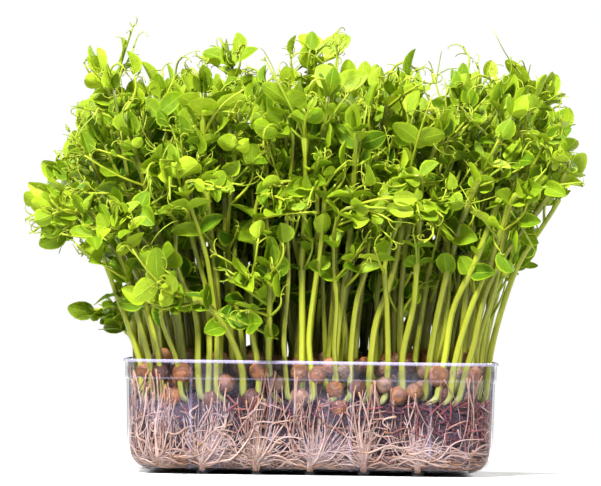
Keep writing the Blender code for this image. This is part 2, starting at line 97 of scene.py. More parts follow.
# Growth rule, as in the solids
SOLID_SHOOTS = 52
SHOOT_SPACING = 9 * MM
SHOOT_MARGIN = 6.1 * MM  # from a stem's foot to the tray's wall halfway up
SHOOT_FOOT = 33 * MM
CANOPY_TOP = 153 * MM
CANOPY_SPREAD = 0.42
LEAN = 6 * MM
WANDER = 3.2 * MM
STEM_RADIUS = 1.55 * MM
TENDRIL_RINGS = 5
BLADE_ROOT = 0.3 * MM
LOWEST_LEAF = 54 * MM
REACH_DEEP = 86 * MM
# How far the bunch reaches to the left and the right, as (height, left, right) in millimetres
REACH = [(50, -80, 80), (66, -97, 80), (76, -86, 80), (85, -94, 90), (93, -116, 93), (110, -121, 98)]
REACH += [(117, -122, 112), (125, -114, 110), (140, -104, 109), (157, -98, 104), (172, -98, 86)]
REACH += [(189, -92, 70)]
STIPULED = (0, 2)  # of every five shoots, those that have stipules in the solids
STEM_ROOM = 2.1 * MM  # kept clear round each point of a stem
TENDRIL_ROOM = 1.5 * MM
BLADE_ROOM = 2.3 * MM
SPINE_POINTS = 43
TRIES = 60
OUTLYING_ROUTES = {
    "hooked": [
        (-27, -47, 33),
        (-28, -49, 44),
        (-34, -55, 58),
        (-43, -60, 69),
        (-50, -62, 70),
        (-56, -63, 74),
    ],
    "paired": [(-15, -47, 33), (-17, -49, 45), (-17, -55, 65), (-17.5, -59, 84)],
    "tall_left": [(-59, -8, 33), (-63, -8, 80), (-76, -8, 130), (-87, -8, 163)],
    "tall_mid": [(-30, 5, 33), (-29, 4, 100), (-32, 0, 145), (-34, -2, 166)],
    "tall_centre": [(3, -12, 33), (0, -14, 100), (-3, -15, 145), (-2, -16, 165)],
    "far_left": [(-67, -19, 33), (-71, -23, 68), (-83, -29, 94), (-99, -33, 104)],
    "left_bud": [(-62, 8, 33), (-67, 10, 78), (-84, 14, 105), (-104, 16, 121)],
    "low_left": [(-67, -33, 33), (-70, -35, 50), (-78, -37, 61), (-88, -38, 64)],
    "edge_left": [(-68, 22, 33), (-69, 23, 75), (-74, 24, 115), (-82, 26, 145)],
    "right_bud": [(63, -16, 33), (71, -20, 75), (89, -24, 105), (103, -26, 123)],
    "far_right": [(65, 9, 33), (70, 11, 70), (81, 15, 98), (92, 18, 113)],
    "low_right": [(67, -31, 33), (70, -33, 60), (75, -36, 78), (82, -38, 86)],
    "edge_right": [(68, 24, 33), (74, 26, 62), (81, 27, 92), (88, 28, 115), (95, 29, 138)],
    "top_right": [(60, 0, 33), (72, 0, 90), (86, -2, 138), (94, -2, 154)],
    "bowed": [(23, -47, 33), (25.5, -49, 60), (31, -52, 77), (35, -54, 95), (38, -55, 120), (41, -56, 138)],
}

# Sizes of leaves and stalks in millimetres, smallest and largest
STIPULE_LENGTHS, STIPULE_WIDTHS = (11, 15), (8, 10)
LEAFLET_LENGTHS, LEAFLET_WIDTHS = (11, 15), (8, 10.5)
BUD_LENGTHS, BUD_WIDTHS = (10, 13), (7.5, 9.5)
YOUNG_LENGTHS, YOUNG_WIDTHS = (7, 11), (6, 8)
STALK_LENGTHS, YOUNG_STALKS = (26, 40), (9, 20)
TUFT_STALKS = (7, 26, 11)  # and the most usual
ARM_LENGTHS = (2.5, 8)
LONG_ARM_SHARE = 0.16
LONG_ARMS = (0.4, 0.75)  # of the reach of the stalk

# Plants between the solid ones, and the leaves that the solids leave out
NEAR_ROOM = 0.7 * MM
NO_INSET = (0, 0, 0)
FILL_INSET = (3 * MM, 7 * MM, 4 * MM)  # of leaves and tendrils, in from the reach of the bunch
TIP_INSET = (6 * MM, 13 * MM, 4 * MM)
SLIM_ROOM = 1.5 * MM
FILL_SPACING = 4.4 * MM
FILL_MARGIN = 3.5 * MM  # from a foot to the tray's wall halfway up
# Places along the front and the back wall of the stems there, in millimetres
FRONT_FEET = (-71, -68, -63.3, -59.6, -52, -44.5, -41.2, -37.6, -21, -9.4, -5.6, 1.2, 10.2, 15.9)
FRONT_FEET += (30, 37.1, 43.7, 51, 56, 60, 66, 70.5)
BACK_FEET = range(-66, 67, 6)
WALL_MARGIN = 3.4 * MM  # from these stems to the inner wall
OFF_WALL = 2.5 * MM
RIM_TOP = 47 * MM
WAVE = 1.1 * MM
WAVE_TURNS = (5, 11)  # radians from foot to tip
LOW_SHARES = (0.5, 0.95)  # of the full height, for shoots against the long walls
LOOSENESS = 1.7  # how much more the stems between stray than those of the solids
KNOTS = (0.37, 0.47, 0.56, 0.65, 0.73, 0.81, 0.88, 0.94)  # places of leaves along a stem
LEAFINESS = ((0.4, 0.75), (0.18, 0.92))  # places along a stem, and the chance of leaves there
FILL_TRIES = 9
LOOSE_TURN = 0.65  # radians
LOOSE_WIDTH = 1.15
TIP_SPREAD = 9 * MM
PER_PIECE = 8  # of these shoots

# Form of the stems and tendrils
HOOK_ROOM = 7.5 * MM
HOOK_STEP = 1.3 * MM  # between the points of the hooked foot
HOOK_SHARES = (0.5, 0.8, 0.95)  # of the stem's radius, at these points
STEM_STEP = 2  # of the points along a spine, one in this many shapes the stem
STEM_SIDES = 7
SLIMMING = 0.8 * MM  # how much thinner a stem is at its tip
KNOT_SWELL = 1.22
CURL_POINTS = 7
STALK_POINTS = 8
STALK_RADII = (0.68, 0.36)  # millimetres, at its foot and at its end
ARM_RADII = (0.36, 0.16)
STALK_SIDES, ARM_SIDES = 5, 3
LEAF_ROWS = 8
LEAF_COLUMNS = 5
OWN_TONE, PAINTED_LIGHT_SHARE = 0.38, 0.62  # shares of a leaf's tone: its own, and painted light and shade from how open it stands
SHADED_HEIGHT, OPEN_RISE = 70 * MM, 85 * MM  # painted light: above this height the leaves' tone rises over this rise, from shade into the open
OPEN_LENGTH, OPEN_DEPTH = 100 * MM, 68 * MM  # from the middle to where leaves stand fully in the open, out of the painted shade

# Peas against the front wall, as (x, height, radius) in millimetres and the place of their colour
FRONT_PEAS = [
    (-55.5, 31, 3.8, 0.55),
    (-40, 30, 3.9, 0.78),
    (-34.3, 36.7, 4.0, 0.7),
    (-23.3, 30, 4.7, 0.96),
    (-20.8, 42, 4.2, 0.6),
    (-13.9, 36.7, 4.1, 0.18),
    (-4.5, 31.4, 4.2, 0.05),
    (-4.5, 41.2, 4.0, 0.4),
    (2.6, 40.6, 3.8, 0.5),
    (9.8, 34.7, 3.9, 0.45),
    (11.4, 27, 4.0, 0.65),
    (18.4, 35.5, 3.9, 0.8),
    (29.4, 36.7, 3.9, 0.1),
    (35.1, 32.7, 3.8, 0.5),
    (41.6, 34.4, 3.4, 0.4),
    (51, 40.6, 4.6, 0.45),
    (64.5, 41.5, 4.0, 0.5),
]
PEA_RADIUS = 4.4 * MM
PEA_ROWS = ((5.2, 40.5), (6.2, 34.5), (12, 43), (19, 44))  # (inset from the wall, height) in millimetres
PEA_COLUMNS = np.arange(-66, 67, 7.4)  # millimetres
ROW_RADII, PILE_RADII = (3.6, 4.4), (3.5, 4.6)  # millimetres
ROW_SPACING, PILE_SPACING = 1.75 * PEA_RADIUS, 1.66 * PEA_RADIUS
PILE_TOP, PILE_TOP_AT_WALL = 48 * MM, 43 * MM
PILE_TRIES = 6000
PEA_ROUND = 16
PEA_BANDS = 10
PEA_DENTS = ((1.3, 0.09), (4, 0.03))  # (fineness, share of the radius)

# Compost: each level of its slope is (height, inset from the inner wall), in millimetres
COMPOST_FOOT = 8.6
COMPOST_SLOPE = [(24, 1.3), (26, 1.9), (28, 3.2), (30, 5), (31.6, 7), (33, 9.5), (34.2, 12.5)]
COMPOST_SLOPE += [(35.2, 16), (36, 21), (36.4, 27), (36.6, 34), (36.6, 42)]
STEEP_LEVELS = 22
CRUMBS = ((260, 0.6), (900, 0.5))  # (lumps to the metre, height in millimetres)
SLOPE_ROUGHNESS = 1.6
FIBRE_SHARES = (0.5, 0.2, 0.2, 0.1)  # front, right, back, left
FIBRE_HEIGHTS = (9, 30)  # millimetres
FIBRE_LOWEST, FIBRE_HIGHEST = 9 * MM, 33 * MM
FIBRE_POINTS = 6
FIBRE_FORM = (0.6, 1, 1.1, 1, 0.8, 0.5)  # of the fibre's radius, at these points

# Roots: some fan up from the ribs or the foot of a short wall, some stray, some hang from the peas
SHORT_WALL_PITCH = 17 * MM
SINKING = 1.3 * MM  # how far a strand sinks into the compost at its top
FAN_LEANS = (3, -2, 4, -1, 2)  # millimetres that each fan of roots leans to the right
FAN_SPREADS = (8, 11, 9, 5, 8)  # millimetres
FAN_TOPS, FAN_TOPS_RIGHT = (9, 37, 17), (8, 26, 11)  # millimetres: lowest, highest and most usual
RIGHT_PART, STRAY_RIGHT_PART = 0.66, 0.62  # of the front's half length, from where roots stay low
LEFT_END_SHARE = 0.16  # of the front's fan strands: those that gather at its left end
RIB_MOUTH = (6.2, 2.2)  # millimetres: height at which a strand turns into a rib, over this stretch
STRAND_POINTS = 13
STRAND_RADII, PEA_STRAND_RADII = (0.12, 0.7, 0.2), (0.2, 0.5)  # millimetres
STRAND_TAPER = 0.4
STRAND_SIDES = 4
PEA_STRANDS = 90
LEFT_SHARE = 0.4  # of the strands from peas: those at the front's left end
STRAY_SHARE = 0.42
LOW_SHARE = 0.35
WALL_SHARES = (0.46, 0.17, 0.2, 0.17)  # of the strands: front, right, back, left
MAT_LEVELS = [(2.7, 1.0), (3.1, 0.8), (3.7, 0.7), (4.6, 0.7), (5.7, 0.7), (6.8, 0.8), (7.8, 0.9)]
MAT_LEVELS += [(8.5, 1.5), (8.9, 3)]  # height, inset from the inner wall
MAT_LUMPS = 420  # to the metre
MAT_LUMP_HEIGHT = 0.35


# The user's settings


class PunnetSettings(bpy.types.PropertyGroup):
    haze: FloatProperty(
        name="Haze", description="Share of light that the thin walls scatter", default=0.02, min=0, max=1
    )
    tint: FloatVectorProperty(
        name="Tint",
        description="Colour of light that passes the plastic",
        subtype="COLOR",
        size=3,
        default=(0.95, 0.945, 0.97),
    )


class FillingSettings(bpy.types.PropertyGroup):
    strands: IntProperty(name="Strands", description="Thin roots against the walls", default=1250, min=0)
    fibres: IntProperty(name="Fibres", description="Fibres in the compost", default=520, min=0)
    peas: IntProperty(name="Peas", description="All peas in the tray", default=250)


class BunchSettings(bpy.types.PropertyGroup):
    more_shoots: IntProperty(
        name="More shoots", description="Shoots between those of the solids", default=140, min=0
    )
    leaf_colour: FloatVectorProperty(
        name="Leaf",
        description="Colour of a leaf in the open",
        subtype="COLOR",
        size=3,
        default=(0.1, 0.19, 0.004),
    )
    stem_colour: FloatVectorProperty(
        name="Stem",
        description="Colour of a stem halfway up",
        subtype="COLOR",
        size=3,
        default=(0.31, 0.34, 0.014),
    )


# Meshes from arrays


class Batch:
    """Vertices and faces of many like shapes, gathered for one mesh.

    Each vertex carries a growth value: how far along its shape it is, where across or around it,
    and a tone for the whole shape: its own, and for leaves and stems partly painted shade, darker deep in
    the bunch.
    """

    def __init__(self):
        self.vertices, self.growth, self.faces, self.finishes = [], [], [], []
        self.count = 0

    def add(self, vertices, growth, faces, finish):
        """faces is a list of arrays of vertex numbers, each of one face size."""
        for block in faces:
            self.faces += (block + self.count).tolist()
            self.finishes += [finish] * len(block)
        self.vertices.append(vertices.reshape(-1, 3))
        self.growth.append(growth.reshape(-1, 3))
        self.count += len(self.vertices[-1])

    def levels(self, rings, growth, finish):
        """A closed solid through rings of equal count, listed from the bottom."""
        height, count = rings.shape[:2]
        low = (np.arange(height - 1) * count)[:, None]
        here, following = np.arange(count), (np.arange(count) + 1) % count
        quads = np.stack([low + here, low + following, low + following + count, low + here + count], -1)
        caps = [here[::-1][None], (height - 1) * count + here[None]]
        self.add(rings, growth, [quads.reshape(-1, 4), *caps], finish)

    def tubes(self, spines, radii, sides, tones, finish):
        """Closed tubes along spines of equal count, with rings turned as little as possible."""
        spines, radii = np.asarray(spines, float), np.asarray(radii, float)
        number, rings, _ = spines.shape
        ahead = unit(np.gradient(spines, axis=1))
        across = np.empty_like(spines)
        reference = np.tile([0.31, -0.95, 0.05], (number, 1))
        for ring in range(rings):
            direction = ahead[:, ring]
            reference = unit(reference - direction * (reference * direction).sum(-1, keepdims=True))
            across[:, ring] = reference
        beside = np.cross(ahead, across)
        angles = math.tau * np.arange(sides) / sides
        around = across[:, :, None] * np.cos(angles)[:, None] + beside[:, :, None] * np.sin(angles)[:, None]
        vertices = spines[:, :, None] + around * radii[:, :, None, None]
        growth = np.empty(vertices.shape)
        growth[..., 0] = np.linspace(0, 1, rings)[None, :, None]
        growth[..., 1] = (np.arange(sides) / sides)[None, None, :]
        growth[..., 2] = np.asarray(tones, float)[:, None, None]
        first = (np.arange(number) * rings * sides)[:, None, None]
        low = first + (np.arange(rings - 1) * sides)[None, :, None]
        here, following = np.arange(sides), (np.arange(sides) + 1) % sides
        quads = np.stack([low + here, low + following, low + following + sides, low + here + sides], -1)
        foot = first[:, 0] + np.arange(sides)[::-1]
        top = first[:, 0] + (rings - 1) * sides + np.arange(sides)
        self.add(vertices, growth, [quads.reshape(-1, 4), foot, top], finish)

    def leaves(self, blades, draw, finish):
        """Thin leaves with the form of these blades, a little waved and twisted."""
        if not blades:
            return
        ways, sizes = ("foot", "along", "upper"), ("length", "width", "fold", "arch")
        foot, along, upper = (np.array([getattr(b, key) for b in blades]) for key in ways)
        measures = (np.array([getattr(b, key) for b in blades]) for key in sizes)
        length, width, fold, arch = (measure[:, None, None] for measure in measures)
        across = np.cross(upper, along)
        u = (0.004 + 0.993 * (1 - np.cos(np.pi * np.linspace(0, 1, LEAF_ROWS))) / 2)[None, :, None]
        v = np.linspace(-1, 1, LEAF_COLUMNS)[None, None, :]
        number = len(blades)
        phase = np.array([draw.uniform(0, math.tau) for _ in blades])[:, None, None]
        wave = np.array([draw.uniform(0.02, 0.07) for _ in blades])[:, None, None]
        twist = np.array([draw.uniform(-0.5, 0.5) for _ in blades])[:, None, None]
        half = width / 2 * np.sin(np.pi * u**0.8) ** 0.55
        rise = fold * np.abs(v) ** 1.15 * half - arch * length * u * u
        rise = rise + wave * width * v * v * np.sin(7 * u + phase + 1.5 * np.sign(v)) * (half / width * 2)
        turned = twist * u
        sideways = half * v
        vertices = (
            foot[:, None, None]
            + along[:, None, None] * (length * u + 0 * v)[..., None]
            + across[:, None, None] * (sideways * np.cos(turned) - rise * np.sin(turned))[..., None]
            + upper[:, None, None] * (rise * np.cos(turned) + sideways * np.sin(turned))[..., None]
        )
        growth = np.empty(vertices.shape)
        growth[..., 0] = u
        growth[..., 1] = v
        # Painted light and shade: the tone rises towards the top and the outside of the bunch, so leaves
        # deep inside are darker.
        height = np.clip((foot[:, 2] - SHADED_HEIGHT) / OPEN_RISE, 0, 1)
        outness = np.maximum(abs(foot[:, 0]) / OPEN_LENGTH, abs(foot[:, 1]) / OPEN_DEPTH)
        painted_light = np.maximum(height**1.5, np.clip(outness, 0, 1) ** 2.5)
        own = np.array([draw.random() for _ in blades])
        growth[..., 2] = (OWN_TONE * own + PAINTED_LIGHT_SHARE * painted_light)[:, None, None]
        grid = np.arange(number * LEAF_ROWS * LEAF_COLUMNS).reshape(number, LEAF_ROWS, LEAF_COLUMNS)
        quads = np.stack([grid[:, :-1, :-1], grid[:, 1:, :-1], grid[:, 1:, 1:], grid[:, :-1, 1:]], -1)
        self.add(vertices, growth, [quads.reshape(-1, 4)], finish)

    def piece(self, name, finishes):
        """The mesh object, riding on the frame's one body."""
        mesh = bpy.data.meshes.new(name)
        vertices = np.concatenate(self.vertices)
        mesh.from_pydata(vertices.tolist(), [], self.faces)
        growth = mesh.attributes.new("growth", "FLOAT_VECTOR", "POINT")
        growth.data.foreach_set("vector", np.concatenate(self.growth).ravel())
        for finish in finishes:
            mesh.materials.append(finish)
        mesh.polygons.foreach_set("material_index", self.finishes)
        mesh.shade_smooth()
        made = bpy.data.objects.new(name, mesh)
        bpy.context.scene.collection.objects.link(made)
        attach(made, "root")
        return made


def unit(vectors):
    return vectors / np.maximum(np.linalg.norm(vectors, axis=-1, keepdims=True), 1e-12)


# Materials


def add_node(tree, kind, inputs=None, **settings):
    """A node with its settings, and its inputs as values or as the sockets that feed them."""
    made = tree.nodes.new(kind)
    for key, value in settings.items():
        setattr(made, key, value)
    for key, value in (inputs or {}).items():
        if isinstance(value, bpy.types.NodeSocket):
            tree.links.new(value, made.inputs[key])
        else:
            made.inputs[key].default_value = value
    return made


def new_material(name):
    made = bpy.data.materials.new(name)
    made.use_nodes = True
    made.node_tree.nodes.clear()
    return made, made.node_tree


def maths(tree, operation, a, b=0.0, clamp=False):
    return add_node(tree, "ShaderNodeMath", {0: a, 1: b}, operation=operation, use_clamp=clamp).outputs[0]


def mix_colour(tree, share, a, b):
    return add_node(tree, "ShaderNodeMix", {0: share, 6: a, 7: b}, data_type="RGBA").outputs[2]


def over_range(tree, value, start, end, low, high):
    """A value that goes from low to high while the given one goes from start to end."""
    return add_node(tree, "ShaderNodeMapRange", {0: value, 1: start, 2: end, 3: low, 4: high}).outputs[0]


def times(colour, factors):
    """The colour with each channel multiplied, up to 1."""
    return tuple(min(1, c * s) for c, s in zip(colour, factors))


def ramp(tree, share, stops):
    """Colours along a share, as (place, colour)."""
    made = add_node(tree, "ShaderNodeValToRGB", {0: share})
    elements = made.color_ramp.elements
    while len(elements) < len(stops):
        elements.new(0.5)
    for element, (place, colour) in zip(elements, stops):
        element.position = place
        element.color = (*colour, 1)
    return made.outputs[0]


def growth_values(tree):
    """How far along, where across, and the tone, as the mesh gives them."""
    read = add_node(tree, "ShaderNodeAttribute", attribute_type="GEOMETRY", attribute_name="growth")
    apart = add_node(tree, "ShaderNodeSeparateXYZ", {0: read.outputs["Vector"]})
    return apart.outputs[0], apart.outputs[1], apart.outputs[2]


def mottle_group():
    """Two sizes of irregular spots over a surface, and a height for bumps from the finer one."""
    found = bpy.data.node_groups.get("mottle")
    if found:
        return found
    tree = bpy.data.node_groups.new("mottle", "ShaderNodeTree")
    for name, default in (("Spot size", 400.0), ("Grain size", 2500.0), ("Contrast", 1.0)):
        socket = tree.interface.new_socket(name, in_out="INPUT", socket_type="NodeSocketFloat")
        socket.default_value = default
    tree.interface.new_socket("Spots", in_out="OUTPUT", socket_type="NodeSocketFloat")
    tree.interface.new_socket("Grain", in_out="OUTPUT", socket_type="NodeSocketFloat")
    ends = add_node(tree, "NodeGroupInput"), add_node(tree, "NodeGroupOutput")
    place = add_node(tree, "ShaderNodeTexCoord").outputs["Object"]
    layers = []
    for size, detail in (("Spot size", 4.0), ("Grain size", 5.0)):
        inputs = {"Vector": place, "Scale": ends[0].outputs[size], "Detail": detail}
        layers.append(add_node(tree, "ShaderNodeTexNoise", inputs).outputs[0])
    spots, grain = layers
    level = maths(tree, "MULTIPLY", maths(tree, "SUBTRACT", spots, 0.5), ends[0].outputs["Contrast"])
    tree.links.new(maths(tree, "ADD", level, 0.5, clamp=True), ends[1].inputs["Spots"])
    tree.links.new(grain, ends[1].inputs["Grain"])
    return tree


def mottle(tree, spot_size, grain_size, contrast):
    """Spots and grain, each so many to the metre, and how sharply the spots stand out."""
    inputs = {"Spot size": spot_size, "Grain size": grain_size, "Contrast": contrast}
    made = add_node(tree, "ShaderNodeGroup", inputs, node_tree=mottle_group())
    return made.outputs["Spots"], made.outputs["Grain"]


def bump(tree, height, distance, strength):
    inputs = {"Height": height, "Distance": distance, "Strength": strength}
    return add_node(tree, "ShaderNodeBump", inputs).outputs[0]


def finish_with(tree, shader):
    add_node(tree, "ShaderNodeOutputMaterial", {"Surface": shader})


def finish_solid(tree, inputs):
    """Ends a material with one principled shader."""
    finish_with(tree, add_node(tree, "ShaderNodeBsdfPrincipled", inputs).outputs[0])


def leaf_material(colour):
    """Green leaf: paler midrib and side veins, soft gloss, and light that shows through; its tone ramp runs
    from painted deep shade to a painted lit colour, and its edges carry a painted glow.
    """
    made, tree = new_material("pea leaf")
    along, across, tone = growth_values(tree)
    spots, grain = mottle(tree, 500.0, 3000.0, 1.6)
    # Painted light and shade: the tone ramp runs from deep shade inside the bunch to the lit colour of
    # fresh leaves in the open.
    painted_deep_shade = times(colour, (0.05, 0.14, 0.5))
    shaded = times(colour, (0.26, 0.44, 0.7))
    lit_fresh = times(colour, (4.3, 3.0, 5))
    painted_open_light = times(colour, (1.5, 1.4, 1.5))
    body = ramp(tree, tone, [(0, painted_deep_shade), (0.35, shaded), (0.62, painted_open_light), (1, lit_fresh)])
    body = mix_colour(tree, maths(tree, "MULTIPLY", spots, 0.4), body, (*shaded, 1))
    side = maths(tree, "ABSOLUTE", across)
    slant = maths(tree, "MULTIPLY", side, 1.8)
    slanted = maths(tree, "SUBTRACT", maths(tree, "MULTIPLY", along, 9.0), slant)
    stripe = maths(tree, "ABSOLUTE", maths(tree, "SUBTRACT", maths(tree, "FRACT", slanted), 0.5))
    vein = over_range(tree, stripe, 0.07, 0.0, 0.0, 0.4)
    rib = over_range(tree, side, 0.1, 0.02, 0.0, 0.75)
    lines = maths(tree, "MAXIMUM", vein, rib)
    pale = tuple(min(1, c * s + a) for c, s, a in zip(colour, (2.8, 2.0, 3.0), (0.03, 0.05, 0.01)))
    body = mix_colour(tree, maths(tree, "MULTIPLY", lines, 0.8), body, (*pale, 1))
    normal = bump(tree, maths(tree, "ADD", maths(tree, "MULTIPLY", lines, -1.0), grain), 0.00025, 0.8)
    # Painted rim light: the leaf's edges glow in the lit colour, as if backlit.
    margin = over_range(tree, side, 0.75, 1.0, 0.0, 0.65)
    body = mix_colour(tree, margin, body, (*lit_fresh, 1))
    gloss = maths(tree, "MULTIPLY", maths(tree, "POWER", tone, 2.0), 0.3)
    top = add_node(
        tree,
        "ShaderNodeBsdfPrincipled",
        {"Base Color": body, "Roughness": 0.36, "Specular IOR Level": gloss, "Normal": normal},
    )
    through = mix_colour(tree, 0.4, body, (0.36, 0.46, 0.008, 1))
    glow = add_node(tree, "ShaderNodeBsdfTranslucent", {"Color": through, "Normal": normal})
    both = add_node(tree, "ShaderNodeMixShader", {0: 0.2, 1: top.outputs[0], 2: glow.outputs[0]})
    finish_with(tree, both.outputs[0])
    return made


def stem_material(colour):
    """Stem: white at its foot, then yellow-green with faint lengthwise lines, darkened by its tone, partly
    at random and partly as painted shade for stems that stand further in.
    """
    made, tree = new_material("pea stem")
    along, around, tone = growth_values(tree)
    white, low = (0.5, 0.5, 0.3), (0.36, 0.4, 0.12)
    yellow = times(colour, (1.3, 1.2, 2))
    green = times(colour, (0.7, 0.85, 0.7))
    body = ramp(tree, along, [(0, white), (0.1, low), (0.2, yellow), (0.55, colour), (1, green)])
    turned = maths(tree, "ADD", maths(tree, "MULTIPLY", around, 5.0), tone)
    lines = maths(tree, "ABSOLUTE", maths(tree, "SUBTRACT", maths(tree, "FRACT", turned), 0.5))
    body = mix_colour(tree, maths(tree, "MULTIPLY", lines, 1.3), body, (*green, 1))
    spots, grain = mottle(tree, 300.0, 1800.0, 1.8)
    body = mix_colour(tree, maths(tree, "MULTIPLY", spots, 0.25), body, (*yellow, 1))
    # Painted shade: a low tone darkens the whole stem.
    tone_and_painted_shade = maths(tree, "ADD", maths(tree, "MULTIPLY", tone, 1.2), 0.12)
    body = add_node(tree, "ShaderNodeVectorMath", {0: body, 3: tone_and_painted_shade}, operation="SCALE").outputs[0]
    normal = bump(tree, maths(tree, "ADD", lines, maths(tree, "MULTIPLY", grain, 0.4)), 0.0003, 0.6)
    inputs = {"Base Color": body, "Roughness": 0.33, "Specular IOR Level": 0.5, "Normal": normal}
    inputs |= {"Subsurface Weight": 0.25, "Subsurface Radius": (1.0, 1.0, 0.2), "Subsurface Scale": 0.001}
    finish_solid(tree, inputs)
    return made


def tendril_material(colour):
    """Tendril: smooth, thin and a clear green that pales to its end."""
    made, tree = new_material("pea tendril")
    along, _, tone = growth_values(tree)
    light = times(colour, (1.1, 1.2, 2.0))
    dark = times(colour, (0.35, 0.6, 0.5))
    body = mix_colour(tree, tone, (*dark, 1), (*colour, 1))
    body = mix_colour(tree, maths(tree, "MULTIPLY", along, 0.7), body, (*light, 1))
    spots, _ = mottle(tree, 400.0, 2400.0, 1.5)
    body = mix_colour(tree, maths(tree, "MULTIPLY", spots, 0.3), body, (*light, 1))
    finish_solid(tree, {"Base Color": body, "Roughness": 0.45, "Specular IOR Level": 0.2})
    return made


def pea_material():
    """Pea skin: pinkish, olive, tan, orange or brown, with darker blotches and fine wrinkles."""
    made, tree = new_material("pea skin")
    along, _, tone = growth_values(tree)
    stops = [
        (0, (0.38, 0.2, 0.125)),
        (0.18, (0.15, 0.1, 0.045)),
        (0.4, (0.29, 0.125, 0.042)),
        (0.6, (0.34, 0.115, 0.026)),
        (0.8, (0.09, 0.03, 0.015)),
        (1, (0.05, 0.012, 0.011)),
    ]
    body = ramp(tree, tone, stops)
    spots, grain = mottle(tree, 420.0, 1500.0, 3.0)
    body = mix_colour(tree, maths(tree, "MULTIPLY", spots, 0.75), body, (0.09, 0.03, 0.014, 1))
    mark = over_range(tree, along, 0.09, 0.04, 0.0, 0.55)
    body = mix_colour(tree, mark, body, (0.06, 0.03, 0.02, 1))
    normal = bump(tree, maths(tree, "ADD", spots, grain), 0.0006, 0.7)
    rough = maths(tree, "ADD", maths(tree, "MULTIPLY", grain, 0.3), 0.25)
    finish_solid(tree, {"Base Color": body, "Roughness": rough, "Normal": normal})
    return made


def compost_material():
    """Moist compost: near black, with purple and rust crumbs."""
    made, tree = new_material("compost")
    spots, grain = mottle(tree, 700.0, 1900.0, 3.5)
    dark, purple = (0.004, 0.002, 0.006), (0.026, 0.011, 0.034)
    maroon, rust = (0.06, 0.014, 0.022), (0.09, 0.012, 0.016)
    body = ramp(tree, spots, [(0, dark), (0.45, purple), (0.72, maroon), (1, rust)])
    normal = bump(tree, maths(tree, "ADD", spots, grain), 0.0012, 1.0)
    rough = maths(tree, "ADD", maths(tree, "MULTIPLY", grain, 0.6), 0.25)
    finish_solid(tree, {"Base Color": body, "Roughness": rough, "Normal": normal})
    return made


def fibre_material():
    """Fibre: from near black through red and tan to pale."""
    made, tree = new_material("compost fibre")
    dark, red, tan, pale = (0.05, 0.01, 0.02), (0.24, 0.035, 0.04), (0.32, 0.13, 0.08), (0.5, 0.34, 0.3)
    tone = growth_values(tree)[2]
    body = ramp(tree, tone, [(0, dark), (0.45, red), (0.8, tan), (1, pale)])
    spots, _ = mottle(tree, 900.0, 3000.0, 2.0)
    body = mix_colour(tree, maths(tree, "MULTIPLY", spots, 0.5), body, (0.05, 0.012, 0.02, 1))
    finish_solid(tree, {"Base Color": body, "Roughness": 0.6})
    return made


def root_material(name, light, dark):
    """Moist roots: from pale to tan, with brown patches."""
    made, tree = new_material(name)
    along, _, tone = growth_values(tree)
    body = mix_colour(tree, tone, (*light, 1), (*dark, 1))
    spots, grain = mottle(tree, 350.0, 1600.0, 2.6)
    body = mix_colour(tree, maths(tree, "MULTIPLY", spots, 0.45), body, (*dark, 1))
    tip = over_range(tree, along, 0.02, 0.16, 0.75, 0.0)
    body = mix_colour(tree, tip, body, (0.38, 0.17, 0.055, 1))
    normal = bump(tree, grain, 0.0004, 0.8)
    inputs = {"Base Color": body, "Roughness": 0.42, "Normal": normal}
    inputs |= {"Subsurface Weight": 0.3, "Subsurface Radius": (1.0, 0.7, 0.5), "Subsurface Scale": 0.0008}
    finish_solid(tree, inputs)
    return made


